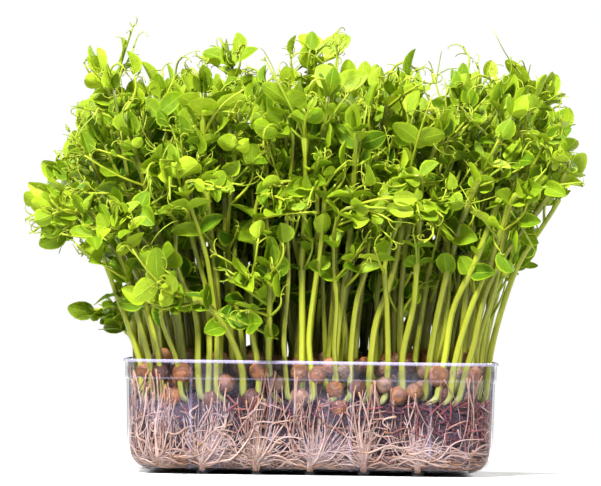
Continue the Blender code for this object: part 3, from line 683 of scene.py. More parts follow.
def plastic_material(tint, haze):
    """Clear thin plastic: see-through, with a sharp gloss, whiter where it is thick at the rim, and with
    painted highlights along the shoulder bend and the flutes.
    """
    made, tree = new_material("clear plastic")
    spots, grain = mottle(tree, 60.0, 300.0, 2.2)
    place = add_node(tree, "ShaderNodeTexCoord").outputs["Object"]
    places = add_node(tree, "ShaderNodeSeparateXYZ", {0: place})
    height = places.outputs["Z"]
    rim = over_range(tree, height, RIM_FROM, RIM_FULL, 0.0, 0.3)
    # Painted highlight: a thin whiter line along the shoulder bend.
    from_bend = maths(tree, "ABSOLUTE", maths(tree, "SUBTRACT", height, SHOULDER))
    bend = over_range(tree, from_bend, 0.1 * MM, 0.5 * MM, 0.08, 0.0)
    thick = maths(tree, "MAXIMUM", rim, bend)
    # Painted highlight: a narrow whiter streak at each flute, broken by spots.
    along = maths(tree, "SUBTRACT", places.outputs["X"], FLUTES[0])
    from_flute = maths(tree, "PINGPONG", along, (FLUTES[1] - FLUTES[0]) / 2)
    flute_highlight = over_range(tree, from_flute, 0.1 * MM, 0.8 * MM, 0.12, 0.0)
    # The thick rim and these painted highlights share one whitening.
    thick = maths(tree, "MAXIMUM", thick, maths(tree, "MULTIPLY", flute_highlight, spots))
    film = over_range(tree, spots, 0.5, 0.9, 0.1 * haze, 2 * haze)
    share = maths(tree, "ADD", film, thick, clamp=True)
    clear = add_node(tree, "ShaderNodeBsdfTransparent", {"Color": (*tint, 1)})
    milk = add_node(tree, "ShaderNodeBsdfDiffuse", {"Color": (0.6, 0.56, 0.8, 1)})
    body = add_node(tree, "ShaderNodeMixShader", {0: share, 1: clear.outputs[0], 2: milk.outputs[0]})
    normal = bump(tree, grain, 0.0002, 0.25)
    mirror = {"Color": (1, 1, 1, 1), "Roughness": 0.08, "Normal": normal}
    shine = add_node(tree, "ShaderNodeBsdfGlossy", mirror)
    outer = maths(tree, "SUBTRACT", 1.0, add_node(tree, "ShaderNodeNewGeometry").outputs["Backfacing"])
    edge = add_node(tree, "ShaderNodeFresnel", {"IOR": 1.22, "Normal": normal})
    mirrored = maths(tree, "MULTIPLY", edge.outputs[0], outer)
    both = add_node(tree, "ShaderNodeMixShader", {0: mirrored, 1: body.outputs[0], 2: shine.outputs[0]})
    finish_with(tree, both.outputs[0])
    return made


# Tray, filling and root block: lofts of rounded rectangles


def rounded_ring(centre_x, half_x, half_y, radius, height, corner_steps, straight_steps=1):
    """Points anticlockwise round a rounded rectangle at one height."""
    points = []
    for quarter, (sx, sy) in enumerate(((1, 1), (-1, 1), (-1, -1), (1, -1))):
        corner = []
        for step in range(corner_steps + 1):
            angle = math.radians(90 * (quarter + step / corner_steps))
            x = sx * (half_x - radius) + radius * math.cos(angle)
            y = sy * (half_y - radius) + radius * math.sin(angle)
            corner.append((centre_x + x, y, height))
        if points:
            points += between(points[-1], corner[0], straight_steps)
        points += corner
    return points + between(points[-1], points[0], straight_steps)


def between(start, end, steps):
    """The points inside a straight stretch that is cut into this many steps."""
    return [tuple(a + (b - a) * k / steps for a, b in zip(start, end)) for k in range(1, steps)]


def even_steps(count):
    """Shares from 0 to 1, one for each point of a course."""
    return [k / (count - 1) for k in range(count)]


def inner_wall(height):
    """Outset of the tray's inner surface at a height, both in millimetres."""
    heights, outsets = zip(*CAVITY)
    return float(np.interp(height, heights, outsets))


def tray_ring(height, outset, corner_steps=CORNER_STEPS, straight_steps=STRAIGHT_STEPS):
    """The tray's outline at a height and an outset, in millimetres."""
    radius = max(CORNER_RADIUS + outset * MM, 0.5 * MM)
    half_x, half_y = HALF_LENGTH + outset * MM, HALF_WIDTH + outset * MM
    return rounded_ring(0, half_x, half_y, radius, height * MM, corner_steps, straight_steps)


def loft(name, rings):
    """A closed solid through rings of equal count, listed from the bottom."""
    count = len(rings[0])
    faces = [list(reversed(range(count)))]
    for level in range(len(rings) - 1):
        low, high = level * count, (level + 1) * count
        for k in range(count):
            following = (k + 1) % count
            faces.append([low + k, low + following, high + following, high + k])
    last = (len(rings) - 1) * count
    faces.append(list(range(last, last + count)))
    mesh = bpy.data.meshes.new(name)
    mesh.from_pydata([point for ring in rings for point in ring], [], faces)
    made = bpy.data.objects.new(name, mesh)
    bpy.context.scene.collection.objects.link(made)
    return made


def combine(target, others, operation):
    """Joins the others to the target or cuts them from it, then removes them."""
    for other in others:
        boolean = target.modifiers.new(operation.lower(), "BOOLEAN")
        boolean.operation = operation
        boolean.object = other
        boolean.solver = "EXACT"
    bpy.context.view_layer.update()
    graph = bpy.context.evaluated_depsgraph_get()
    result = bpy.data.meshes.new_from_object(target.evaluated_get(graph))
    target.modifiers.clear()
    target.data = result
    for other in others:
        bpy.data.objects.remove(other)


def rib_rings(index, levels, corner_steps, straight_steps=1):
    """The outlines of one bar across the base. Its ends turn up with the foot of the wall."""
    x = (index - (RIB_COUNT - 1) / 2) * RIB_PITCH
    rings = []
    for height, half_thick, inset in levels:
        sizes = (half_thick * MM, HALF_WIDTH - inset * MM, RIB_CORNER, height * MM)
        rings.append(rounded_ring(x, *sizes, corner_steps, straight_steps))
    return rings


def ribs(levels):
    return [loft(f"rib_{index}", rib_rings(index, levels, 4)) for index in range(RIB_COUNT)]


def fluted(ring):
    """The ring with a shallow outward groove at each flute of the front and back walls."""
    points = []
    for x, y, z in ring:
        near = min(abs(x - flute) for flute in FLUTES) / FLUTE_HALF_WIDTH
        on_long_wall = abs(x) < HALF_LENGTH - CORNER_RADIUS and abs(y) > HALF_WIDTH - 3 * MM
        above = min(1, max(0, (z / MM - FLUTE_FOOT) / FLUTE_FADES[0]))
        below = min(1, max(0, (FLUTE_TOP - z / MM) / FLUTE_FADES[1]))
        push = FLUTE_DEPTH * (above * below) * math.exp(-near * near) if on_long_wall else 0
        points.append((x, y + math.copysign(push, y), z))
    return points


class PUNNET_OT_build(bpy.types.Operator):
    """Mould the clear tray with its rim, shoulder, flutes and hollow ribs"""

    bl_idname = "punnet.build"
    bl_label = "Clear tray"

    def execute(self, context):
        settings = context.scene.punnet
        tray = loft("clear_tray", [fluted(tray_ring(*level)) for level in OUTSIDE + FLANGE])
        combine(tray, ribs(RIB_OUTSIDE), "UNION")
        cavity = loft("cavity", [fluted(tray_ring(*level)) for level in CAVITY])
        combine(cavity, ribs(RIB_CAVITY), "UNION")
        combine(tray, [cavity], "DIFFERENCE")
        tray.data.materials.clear()
        tray.data.materials.append(plastic_material(settings.tint, settings.haze))
        tray.data.shade_smooth()
        tray.data.set_sharp_from_angle(angle=math.radians(50))
        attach(tray, "root")
        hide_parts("tray")
        return {"FINISHED"}


# Roots


def wall_point(side, along, height, depth):
    """A point in from the inner wall. Side 0 is the front, 1 the right, 2 the back and 3 the left."""
    away = inner_wall(height / MM) * MM - depth
    half_x, half_y, radius = HALF_LENGTH + away, HALF_WIDTH + away, CORNER_RADIUS + away
    long_side = side in (0, 2)
    reach, other = (half_x, half_y) if long_side else (half_y, half_x)
    along = max(-reach, min(reach, along))
    past = abs(along) - (reach - radius)
    pulled = radius - math.sqrt(max(0, radius * radius - past * past)) if past > 0 else 0
    out = other - pulled
    if long_side:
        return (along, out * (-1, 0, 1)[side], height)
    return (out * (0, 1, 0, -1)[side], along, height)


def fan_strand(draw, side):
    """A root that comes down the wall and bends into the end of a rib, or to the foot of a short wall."""
    long_side = side in (0, 2)
    half = (HALF_LENGTH if long_side else HALF_WIDTH) - 3 * MM
    index = draw.randrange(RIB_COUNT)
    gather = (index - (RIB_COUNT - 1) / 2) * (RIB_PITCH if long_side else SHORT_WALL_PITCH)
    top_along = gather + (FAN_LEANS[index] + draw.gauss(0, FAN_SPREADS[index])) * MM
    top_along = max(-half, min(half, top_along))
    at_left_end = side == 0 and draw.random() < LEFT_END_SHARE
    if at_left_end:
        gather = -half + draw.uniform(2, 16) * MM
        top_along = gather + draw.uniform(-5, 8) * MM
    top = draw.triangular(*FAN_TOPS) * MM
    if side == 0 and top_along > RIGHT_PART * half:
        top = draw.triangular(*FAN_TOPS_RIGHT) * MM
    foot_along = gather + draw.uniform(-1, 1) * MM
    depth = draw.triangular(0.15, 1.1, 0.3) * MM
    sway, phase = draw.uniform(0.4, 2.2) * MM, draw.uniform(0, math.tau)
    power = draw.uniform(0.25, 0.8)
    low, bend = (3.4 if at_left_end else 2.0) * MM, draw.uniform(3.6, 8) * MM
    spine = []
    for t in even_steps(STRAND_POINTS):
        height = low + (top - low) * t
        rise = max(0, (height - bend) / (top - bend))
        along = foot_along + (top_along - foot_along) * rise**power
        along += sway * math.sin(6 * t + phase) * rise
        sunk = depth + 0.2 * MM * math.sin(4 * t + phase) + SINKING * t**4
        x, y, z = wall_point(side, along, height, sunk)
        if long_side and not at_left_end:
            inside_rib = max(0, min(1, (RIB_MOUTH[0] - height / MM) / RIB_MOUTH[1]))
            rib_y = HALF_WIDTH - (rib_inset(height / MM) + 0.5) * MM
            y = math.copysign(abs(y) + (rib_y - abs(y)) * inside_rib, y)
        spine.append((x, y, z))
    return spine


def rib_inset(height):
    """How far a rib's hollow ends from the wall, both in millimetres."""
    heights, _, insets = zip(*RIB_CAVITY)
    return float(np.interp(height, heights, insets))


def stray_strand(draw, side):
    """A root that wanders along the wall in bends of its own."""
    half = (HALF_LENGTH if side in (0, 2) else HALF_WIDTH) - 2 * MM
    along, height = draw.uniform(-half, half), draw.triangular(2.9, 26, 3.6) * MM
    if side == 0 and along > STRAY_RIGHT_PART * half:
        height = draw.uniform(3.2, 11) * MM
    heading, turn = draw.uniform(0, math.tau), draw.uniform(-1.8, 1.8)
    length, depth = draw.uniform(9, 26) * MM, draw.triangular(0.15, 0.9, 0.25) * MM
    if draw.random() < LOW_SHARE:
        height, depth = draw.uniform(2.7, 7.5) * MM, draw.uniform(0.1, 0.45) * MM
        length *= 1.3
    if height < 11 * MM:
        heading = draw.choice((0, math.pi)) + draw.uniform(-0.5, 0.5)
    spine = []
    for t in even_steps(STRAND_POINTS):
        spine.append(wall_point(side, along, min(max(height, 2.8 * MM), 38 * MM), depth))
        angle = heading + turn * t + 0.8 * math.sin(5 * t + heading)
        along += math.cos(angle) * length / STRAND_POINTS
        height += 0.6 * math.sin(angle) * length / STRAND_POINTS
    return spine


def pea_strand(draw):
    """A root that hangs from a pea against the front wall."""
    x, height, radius, _ = draw.choice(FRONT_PEAS)
    along, top = x * MM + draw.gauss(0, 3.5) * MM, (height + draw.uniform(-0.5, 0.5) * radius) * MM
    if draw.random() < LEFT_SHARE:
        along, top = draw.uniform(-73, -57) * MM, draw.uniform(28, 43) * MM
    foot, low = along + draw.gauss(0, 5) * MM, draw.uniform(6, 16) * MM
    sway, phase = draw.uniform(0.3, 1.6) * MM, draw.uniform(0, math.tau)
    depth = draw.triangular(0.2, 2.2, 0.5) * MM
    spine = []
    for t in even_steps(STRAND_POINTS):
        place = along + (foot - along) * t + sway * math.sin(5 * t + phase)
        spine.append(wall_point(0, place, top + (low - top) * t, depth))
    return spine


def root_block():
    """The dense mat in the bottom of the tray, with a lumpy surface."""
    batch = Batch()
    rings = np.array([tray_ring(z, inner_wall(z) - inset, 10, 60) for z, inset in MAT_LEVELS])
    for ring in rings[1:]:
        for point in ring:
            swell = noise.noise(Vector(point) * MAT_LUMPS) * MAT_LUMP_HEIGHT * MM
            outward = Vector((point[0], point[1] * 1.4, 0)).normalized() * (swell - 0.2 * MM)
            point += (outward.x, outward.y, swell if point[2] > 8 * MM else 0)
    growth = np.zeros(rings.shape)
    growth[..., 0] = 0.5
    growth[..., 2] = 0.35
    batch.levels(rings, growth, 0)
    return batch


def rib_roots(batch):
    """Bundles of roots that fill the ribs, darker towards the bottom."""
    for index in range(RIB_COUNT):
        rings = np.array(rib_rings(index, RIB_ROOTS, 3, 12))
        growth = np.zeros(rings.shape)
        growth[..., 0] = 0.2
        growth[..., 2] = np.linspace(1, 0.3, len(rings))[:, None]
        batch.levels(rings, growth, 0)


class PUNNET_OT_roots(bpy.types.Operator):
    """Grow the root mat, the bundles in the ribs and the strands against the walls"""

    bl_idname = "punnet.roots"
    bl_label = "Roots"

    def execute(self, context):
        draw = random.Random(SEED + 10)
        pale = root_material("pale root", (0.56, 0.41, 0.34), (0.17, 0.07, 0.035))
        mat = root_material("root mat", (0.2, 0.11, 0.095), (0.1, 0.04, 0.02))
        batch = root_block()
        rib_roots(batch)
        block = batch.piece("root_mat", [mat])
        strands = Batch()
        spines, radii, tones = [], [], []
        for side, share in enumerate(WALL_SHARES):
            for _ in range(int(context.scene.filling.strands * share)):
                stray = draw.random() < STRAY_SHARE
                spines.append(stray_strand(draw, side) if stray else fan_strand(draw, side))
                thick = draw.triangular(*STRAND_RADII) * MM
                radii.append(np.linspace(thick, thick * STRAND_TAPER, STRAND_POINTS))
                tones.append(draw.random() ** 2.2)
        for _ in range(PEA_STRANDS):
            spines.append(pea_strand(draw))
            thick = draw.uniform(*PEA_STRAND_RADII) * MM
            radii.append(np.linspace(thick, thick * STRAND_TAPER, STRAND_POINTS))
            tones.append(draw.random())
        strands.tubes(spines, radii, STRAND_SIDES, tones, 0)
        hair = strands.piece("root_strands", [pale])
        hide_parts("roots")
        return {"FINISHED"}


# Compost


class PUNNET_OT_compost(bpy.types.Operator):
    """Fill the tray with crumbly compost, with fibres against the walls"""

    bl_idname = "punnet.compost"
    bl_label = "Compost"

    def execute(self, context):
        draw = random.Random(SEED + 20)
        brink, inset = COMPOST_SLOPE[0]
        steep = [(z, inset) for z in np.linspace(COMPOST_FOOT, brink, STEEP_LEVELS)]
        levels = steep + COMPOST_SLOPE[1:]
        rings = np.array([tray_ring(z, inner_wall(z) - inset, 12, 66) for z, inset in levels])
        for level, ring in enumerate(rings):
            for point in ring:
                place = Vector(point)
                lump = sum(noise.noise(place * fineness) * height * MM for fineness, height in CRUMBS)
                if level < len(steep):
                    outward = Vector((point[0], point[1] * 1.4, 0)).normalized() * (lump - 0.4 * MM)
                    point += (outward.x, outward.y, 0)
                else:
                    point[2] += SLOPE_ROUGHNESS * lump
        batch = Batch()
        batch.levels(rings, np.full(rings.shape, 0.5), 0)
        self.lay_fibres(batch, draw, context.scene.filling.fibres)
        soil = batch.piece("compost_block", [compost_material(), fibre_material()])
        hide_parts("compost")
        return {"FINISHED"}

    def lay_fibres(self, batch, draw, count):
        """Short bent fibres just behind the walls, most of them to the right of the front."""
        spines, radii, tones = [], [], []
        for _ in range(count):
            side = draw.choices((0, 1, 2, 3), FIBRE_SHARES)[0]
            half = (HALF_LENGTH if side in (0, 2) else HALF_WIDTH) - 3 * MM
            along = half * (1 - 2 * draw.random() ** (1.9 if side == 0 else 1))
            height = draw.uniform(*FIBRE_HEIGHTS) * MM
            length, slope = draw.uniform(2.5, 10) * MM, draw.uniform(0, math.tau)
            bend, depth = draw.uniform(-2, 2) * MM, draw.uniform(0.5, 1.5) * MM
            spine = []
            for t in np.linspace(-0.5, 0.5, FIBRE_POINTS):
                place = along + math.cos(slope) * length * t + bend * (0.25 - t * t)
                level = height + math.sin(slope) * length * t + bend * t * t
                level = max(FIBRE_LOWEST, min(level, FIBRE_HIGHEST))
                spine.append(wall_point(side, place, level, depth))
            thick = draw.uniform(0.14, 0.42) * MM
            spines.append(spine)
            radii.append([thick * share for share in FIBRE_FORM])
            tones.append(draw.random())
        batch.tubes(spines, radii, 5, tones, 1)


# Peas


def add_pea(batch, centre, radius, tone, draw):
    """One slightly squashed and dented pea."""
    turn = Euler((draw.uniform(0, math.tau), draw.uniform(0, math.tau), 0)).to_matrix()
    squash = Matrix.Diagonal((1, draw.uniform(0.9, 1), draw.uniform(0.86, 0.96)))
    shift = Vector((draw.uniform(-9, 9), draw.uniform(-9, 9), draw.uniform(-9, 9)))
    vertices = np.empty((PEA_BANDS + 1, PEA_ROUND, 3))
    growth = np.empty(vertices.shape)
    for band in range(PEA_BANDS + 1):
        tilt = math.pi * (0.02 + 0.96 * band / PEA_BANDS)
        for k in range(PEA_ROUND):
            angle = math.tau * k / PEA_ROUND
            out = math.sin(tilt)
            way = Vector((out * math.cos(angle), out * math.sin(angle), -math.cos(tilt)))
            swell = 1
            for fineness, depth in PEA_DENTS:
                swell += depth * noise.noise(way * fineness + shift)
            vertices[band, k] = centre + turn @ (squash @ (way * radius * swell))
            growth[band, k] = (band / PEA_BANDS, k / PEA_ROUND, tone)
    batch.levels(vertices, growth, 0)


class PUNNET_OT_peas(bpy.types.Operator):
    """Lay the sprouted peas on the compost and against the wall"""

    bl_idname = "punnet.peas"
    bl_label = "Peas"

    def execute(self, context):
        draw = random.Random(SEED + 30)
        batch = Batch()
        places = []
        for x, z, radius, tone in FRONT_PEAS:
            out = wall_point(0, x * MM, z * MM, radius * MM + draw.uniform(0.2, 0.6) * MM)
            centre = Vector((out[0], out[1], z * MM))
            places.append(centre)
            add_pea(batch, centre, radius * MM, tone, draw)
        for depth, height in PEA_ROWS:
            for x in PEA_COLUMNS:
                place = (x + draw.uniform(-2, 2)) * MM
                x, y, z = wall_point(0, place, (height + draw.uniform(-1.5, 1.5)) * MM, depth * MM)
                centre = Vector((x, y, z))
                if all((centre - other).length > ROW_SPACING for other in places):
                    places.append(centre)
                    add_pea(batch, centre, draw.uniform(*ROW_RADII) * MM, draw.random(), draw)
        for _ in range(PILE_TRIES):
            if len(places) >= context.scene.filling.peas:
                break
            x = draw.uniform(-HALF_LENGTH, HALF_LENGTH)
            y = draw.uniform(-HALF_WIDTH, HALF_WIDTH)
            radius = draw.uniform(*PILE_RADII) * MM
            if not inside_tray(x, y, radius + 1.6 * MM):
                continue
            pile = PILE_TOP if inside_tray(x, y, 9 * MM) else PILE_TOP_AT_WALL
            centre = Vector((x, y, draw.uniform(self.ground(x, y) + 1 * MM, pile)))
            if all((centre - other).length > PILE_SPACING for other in places):
                places.append(centre)
                add_pea(batch, centre, radius, draw.random(), draw)
        peas = batch.piece("sprouted_peas", [pea_material()])
        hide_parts("peas")
        return {"FINISHED"}

    def ground(self, x, y):
        """Height of the compost at a place."""
        for height, inset in reversed(COMPOST_SLOPE):
            if inside_tray(x, y, (inset + 1) * MM):
                return height * MM
        return COMPOST_SLOPE[0][0] * MM


# Growth rule, as in the solids


@dataclass
class Blade:
    """One oval leaf blade: its foot, the way it runs, its upper side and its size."""

    foot: Vector
    along: Vector
    upper: Vector
    length: float
    width: float
    fold: float
    arch: float

    def point(self, u, v):
        across = self.upper.cross(self.along)
        half = self.width / 2 * math.sin(math.pi * min(u, 1) ** 0.8) ** 0.7 if u < 1 else 0
        rise = self.fold * abs(v) * half - self.arch * self.length * u * u
        return self.foot + self.along * self.length * u + across * v * half + self.upper * rise

    def balls(self):
        """Points over the blade, for keeping it clear of other plants."""
        points = [self.point(u, v) for u in (0.3, 0.5, 0.7, 0.85) for v in (-0.8, 0, 0.8)]
        return points + [self.point(0.15, 0), self.point(1, 0)]


@dataclass
class Shoot:
    """One plant above its pea."""

    spine: list
    bud: Blade = None
    blades: list = field(default_factory=list)
    tendrils: list = field(default_factory=list)
    knots: list = field(default_factory=list)


class Room:
    """The space that plants have taken, as balls, each with its owner."""

    def __init__(self):
        self.owners = np.empty(0, int)
        self.centres = np.empty((0, 3))
        self.radii = np.empty(0)

    def is_clear(self, owner, points, radius):
        points = np.array(points)
        reach = radius + 2.4 * MM
        near = (self.owners != owner) & (self.centres > points.min(0) - reach).all(1)
        near &= (self.centres < points.max(0) + reach).all(1)
        apart = points[:, None, :] - self.centres[near][None, :, :]
        reach = radius + self.radii[near]
        return bool((np.einsum("ijk,ijk->ij", apart, apart) > reach**2).all())

    def take(self, owner, points, radius):
        self.owners = np.concatenate([self.owners, np.full(len(points), owner)])
        self.centres = np.concatenate([self.centres, np.array(points)])
        self.radii = np.concatenate([self.radii, np.full(len(points), radius)])


def smooth_route(points, count):
    """Points evenly spread over a smooth curve through the given ones."""
    points = [points[0] * 2 - points[1], *points, points[-1] * 2 - points[-2]]
    last = len(points) - 3
    curve = []
    for k in range(count):
        place = min(k / (count - 1) * last, last - 1e-6)
        span = int(place)
        t = place - span
        a, b, c, d = points[span : span + 4]
        square, cube = 2 * a - 5 * b + 4 * c - d, 3 * b - 3 * c + d - a
        curve.append(0.5 * (2 * b + (c - a) * t + square * t**2 + cube * t**3))
    return curve


def within_reach(points, inset=NO_INSET):
    """Whether the points stay inside the bunch as a whole, in from its sides, front and back, and top."""
    heights, left, right = (np.array(column) * MM for column in zip(*REACH))
    xs, ys, zs = np.array(points).T
    inside = xs > np.interp(zs, heights, left) + inset[0]
    inside &= xs < np.interp(zs, heights, right) - inset[0]
    inside &= (abs(ys) < REACH_DEEP - inset[1]) & (zs > LOWEST_LEAF) & (zs < heights[-1] - inset[2])
    return bool(inside.all())


def inside_tray(x, y, margin):
    """Whether a foot stands at least this far in from the tray's wall."""
    half_x, half_y, radius = HALF_LENGTH - margin, HALF_WIDTH - margin, CORNER_RADIUS - margin
    dx, dy = abs(x) - (half_x - radius), abs(y) - (half_y - radius)
    if dx > 0 and dy > 0:
        return math.hypot(dx, dy) < radius
    return dx < radius and dy < radius


def scatter(draw, taken, count, spacing, margin):
    """Feet at random places, each at least the spacing from the others and from those taken."""
    found = []
    for _ in range(20000):
        if len(found) == count:
            break
        x = draw.uniform(-HALF_LENGTH, HALF_LENGTH)
        y = draw.uniform(-HALF_WIDTH, HALF_WIDTH)
        near = any(math.hypot(x - a, y - b) < spacing for a, b in taken + found)
        if inside_tray(x, y, margin) and not near:
            found.append((x, y))
    return found


def free_route(draw, x, y, looseness=1.0):
    """A stem that rises from its foot, leans out with the bunch and wanders a little."""
    rise = CANOPY_TOP - SHOOT_FOOT + draw.uniform(-24, 4) * MM
    lean_x = x * CANOPY_SPREAD + draw.gauss(0, LEAN)
    lean_y = y * CANOPY_SPREAD + draw.gauss(0, LEAN)
    route = [Vector((x, y, SHOOT_FOOT))]
    for t in (0.2, 0.45, 0.7, 1):
        wander = WANDER * t * looseness
        route.append(
            Vector(
                (
                    x + lean_x * t**1.7 + draw.uniform(-wander, wander),
                    y + lean_y * t**1.7 + draw.uniform(-wander, wander),
                    SHOOT_FOOT + rise * t,
                )
            )
        )
    return route


def side_of(direction, azimuth):
    """The unit vector across a direction that points nearest to an azimuth."""
    outward = Vector((math.cos(azimuth), math.sin(azimuth), 0))
    return (outward - direction * outward.dot(direction)).normalized()


def leaf_blade(foot, stem, side, lift, length, width):
    """A flat blade that leaves a stem towards one side, lifted from it by an angle."""
    along = (stem * math.sin(lift) + side * math.cos(lift)).normalized()
    upper = (stem * math.cos(lift) - side * math.sin(lift)).normalized()
    return Blade(foot + side * BLADE_ROOT, along, upper, length, width, 0, 0.1)


def loosen(draw, pair):
    """Turn a pair of blades about the way they run, mirror-wise, and cup them."""
    turn, cup = draw.gauss(0, LOOSE_TURN), draw.uniform(0.1, 0.85)
    for way, blade in zip((1, -1), pair):
        across = blade.upper.cross(blade.along)
        blade.upper = blade.upper * math.cos(turn) + across * math.sin(way * turn)
        blade.width *= LOOSE_WIDTH
        blade.fold += cup
        blade.arch += draw.uniform(-0.15, 0.3)


def knot_at(shoot, place):
    """The number of the stem's point at a place along it, the point, and the way the stem runs there."""
    knot = int(place * (SPINE_POINTS - 1))
    return knot, shoot.spine[knot], (shoot.spine[knot + 1] - shoot.spine[knot - 1]).normalized()


def grow_pair(draw, room, owner, shoot, place, clearance=BLADE_ROOM, size=1.0, tries=TRIES):
    """Two stipules on opposite sides of the stem."""
    inset = NO_INSET if clearance == BLADE_ROOM else FILL_INSET
    knot, foot, stem = knot_at(shoot, place)
    for _ in range(tries):
        side = side_of(stem, draw.uniform(0, math.tau))
        lift = math.radians(draw.uniform(15, 60))
        pair = []
        for way in (1, -1):
            length = draw.uniform(*STIPULE_LENGTHS) * MM * size
            width = draw.uniform(*STIPULE_WIDTHS) * MM * size
            pair.append(leaf_blade(foot, stem, way * side, lift, length, width))
        if clearance < BLADE_ROOM:
            loosen(draw, pair)
        points = [p for blade in pair for p in blade.balls()]
        if within_reach(points, inset) and room.is_clear(owner, points, clearance):
            room.take(owner, points, clearance)
            shoot.blades += pair
            shoot.knots.append(knot)
            return


def grow_leaf(draw, room, owner, shoot, place, clearance=BLADE_ROOM, size=1.0, tries=TRIES):
    """A leaf stalk with two leaflets that ends in a curling tendril."""
    inset = NO_INSET if clearance == BLADE_ROOM else FILL_INSET
    knot, foot, stem = knot_at(shoot, place)
    outward = math.atan2(foot.y, foot.x)
    for _ in range(tries):
        azimuth = outward + draw.gauss(0, 1.3)
        side = side_of(stem, azimuth)
        lift = math.radians(draw.uniform(25, 65))
        reach = draw.uniform(*STALK_LENGTHS) * MM * size
        ahead = (stem * math.sin(lift) + side * math.cos(lift)).normalized()
        beside = ahead.cross(stem).normalized()
        sway = draw.uniform(-0.35, 0.35)
        droop = draw.uniform(-0.25, 0.3)
        stalk = []
        for t in even_steps(TENDRIL_RINGS):
            bend = beside * sway * t * t + Vector((0, 0, -1)) * droop * t * t
            stalk.append(foot + (ahead * t + bend) * reach)
        knee = stalk[2]
        up = beside.cross(ahead).normalized()
        pair = []
        for way in (1, -1):
            length = draw.uniform(*LEAFLET_LENGTHS) * MM * size
            width = draw.uniform(*LEAFLET_WIDTHS) * MM * size
            swing = draw.uniform(0.4, 0.6)
            along = (beside * way * 0.85 + ahead * swing + up * 0.15).normalized()
            upper = (up - along * up.dot(along)).normalized()
            pair.append(Blade(knee, along, upper, length, width, 0.15, 0.12))
        if clearance < BLADE_ROOM:
            loosen(draw, pair)
        points = [p for blade in pair for p in blade.balls()]
        if (
            within_reach(points + stalk, inset)
            and room.is_clear(owner, points, clearance)
            and room.is_clear(owner, stalk[1:], min(clearance, TENDRIL_ROOM))
        ):
            room.take(owner, points, clearance)
            room.take(owner, stalk[1:], min(clearance, TENDRIL_ROOM))
            shoot.blades += pair
            shoot.tendrils.append(stalk)
            shoot.knots.append(knot)
            return


def grow_tip(draw, room, owner, shoot, clearance=BLADE_ROOM, tries=TRIES):
    """The young leaf at the top of the stem, still folded along its midrib."""
    foot = shoot.spine[-1] * 0.6 + shoot.spine[-2] * 0.4
    stem = (shoot.spine[-1] - shoot.spine[-3]).normalized()
    for _ in range(tries):
        upper = side_of(stem, draw.uniform(0, math.tau))
        length, width = draw.uniform(*BUD_LENGTHS) * MM, draw.uniform(*BUD_WIDTHS) * MM
        bud = Blade(foot, stem, upper, length, width, 0.5, -0.1)
        if room.is_clear(owner, bud.balls(), clearance):
            room.take(owner, bud.balls(), clearance)
            shoot.bud = bud
            return


def grow_stems(room):
    """The stems of the solids: the outlying ones first, then the rest scattered between them."""
    routes = [[Vector(p) * MM for p in route] for route in OUTLYING_ROUTES.values()]
    draw = random.Random(SEED + 1)
    feet = [(route[0].x, route[0].y) for route in routes]
    free = scatter(draw, feet, SOLID_SHOOTS - len(routes), SHOOT_SPACING, SHOOT_MARGIN)
    shoots = []
    for route in routes:
        shoots.append(Shoot(smooth_route(route, SPINE_POINTS)))
        room.take(len(shoots) - 1, shoots[-1].spine, STEM_ROOM)
    for x, y in free:
        for _ in range(TRIES):
            spine = smooth_route(free_route(draw, x, y), SPINE_POINTS)
            if room.is_clear(len(shoots), spine, STEM_ROOM):
                room.take(len(shoots), spine, STEM_ROOM)
                shoots.append(Shoot(spine))
                break
    return shoots


def grow_solid_shoots(room):
    """The shoots that the solids show, leaf for leaf."""
    shoots = grow_stems(room)
    draws = [random.Random(SEED + 100 + owner) for owner in range(len(shoots))]
    for owner, shoot in enumerate(shoots):
        grow_tip(draws[owner], room, owner, shoot)
    for owner, shoot in enumerate(shoots):
        grow_leaf(draws[owner], room, owner, shoot, draws[owner].uniform(0.8, 0.92))
    for owner, shoot in enumerate(shoots):
        if owner % 5 in STIPULED:
            grow_pair(draws[owner], room, owner, shoot, draws[owner].uniform(0.5, 0.7))
    return shoots


# The rest of the bunch


def wavy(draw, spine):
    """The same course with slow bends to and fro."""
    ways = [Vector((draw.gauss(0, 1), draw.gauss(0, 0.7), 0)) * WAVE for _ in WAVE_TURNS]
    phases = [draw.uniform(0, math.tau) for _ in WAVE_TURNS]
    bent = []
    for t, point in zip(even_steps(len(spine)), spine):
        grown = min(1, 4 * t)
        for way, turn, phase in zip(ways, WAVE_TURNS, phases):
            swing = math.sin(turn * t + phase) - math.sin(phase) * (1 - t)
            point = point + way * grown * swing / turn * WAVE_TURNS[0]
        bent.append(point)
    return bent


def shortened(draw, route):
    """The same course for a lower shoot, with a tip that nods outwards."""
    share = draw.uniform(*LOW_SHARES)
    lower = [Vector((p.x, p.y, SHOOT_FOOT + (p.z - SHOOT_FOOT) * share)) for p in route]
    outward = math.copysign(draw.uniform(1, 7) * MM, route[0].y)
    nod = Vector((draw.uniform(-9, 9) * MM, outward, draw.uniform(-3, 6) * MM))
    return lower + [lower[-1] + nod]


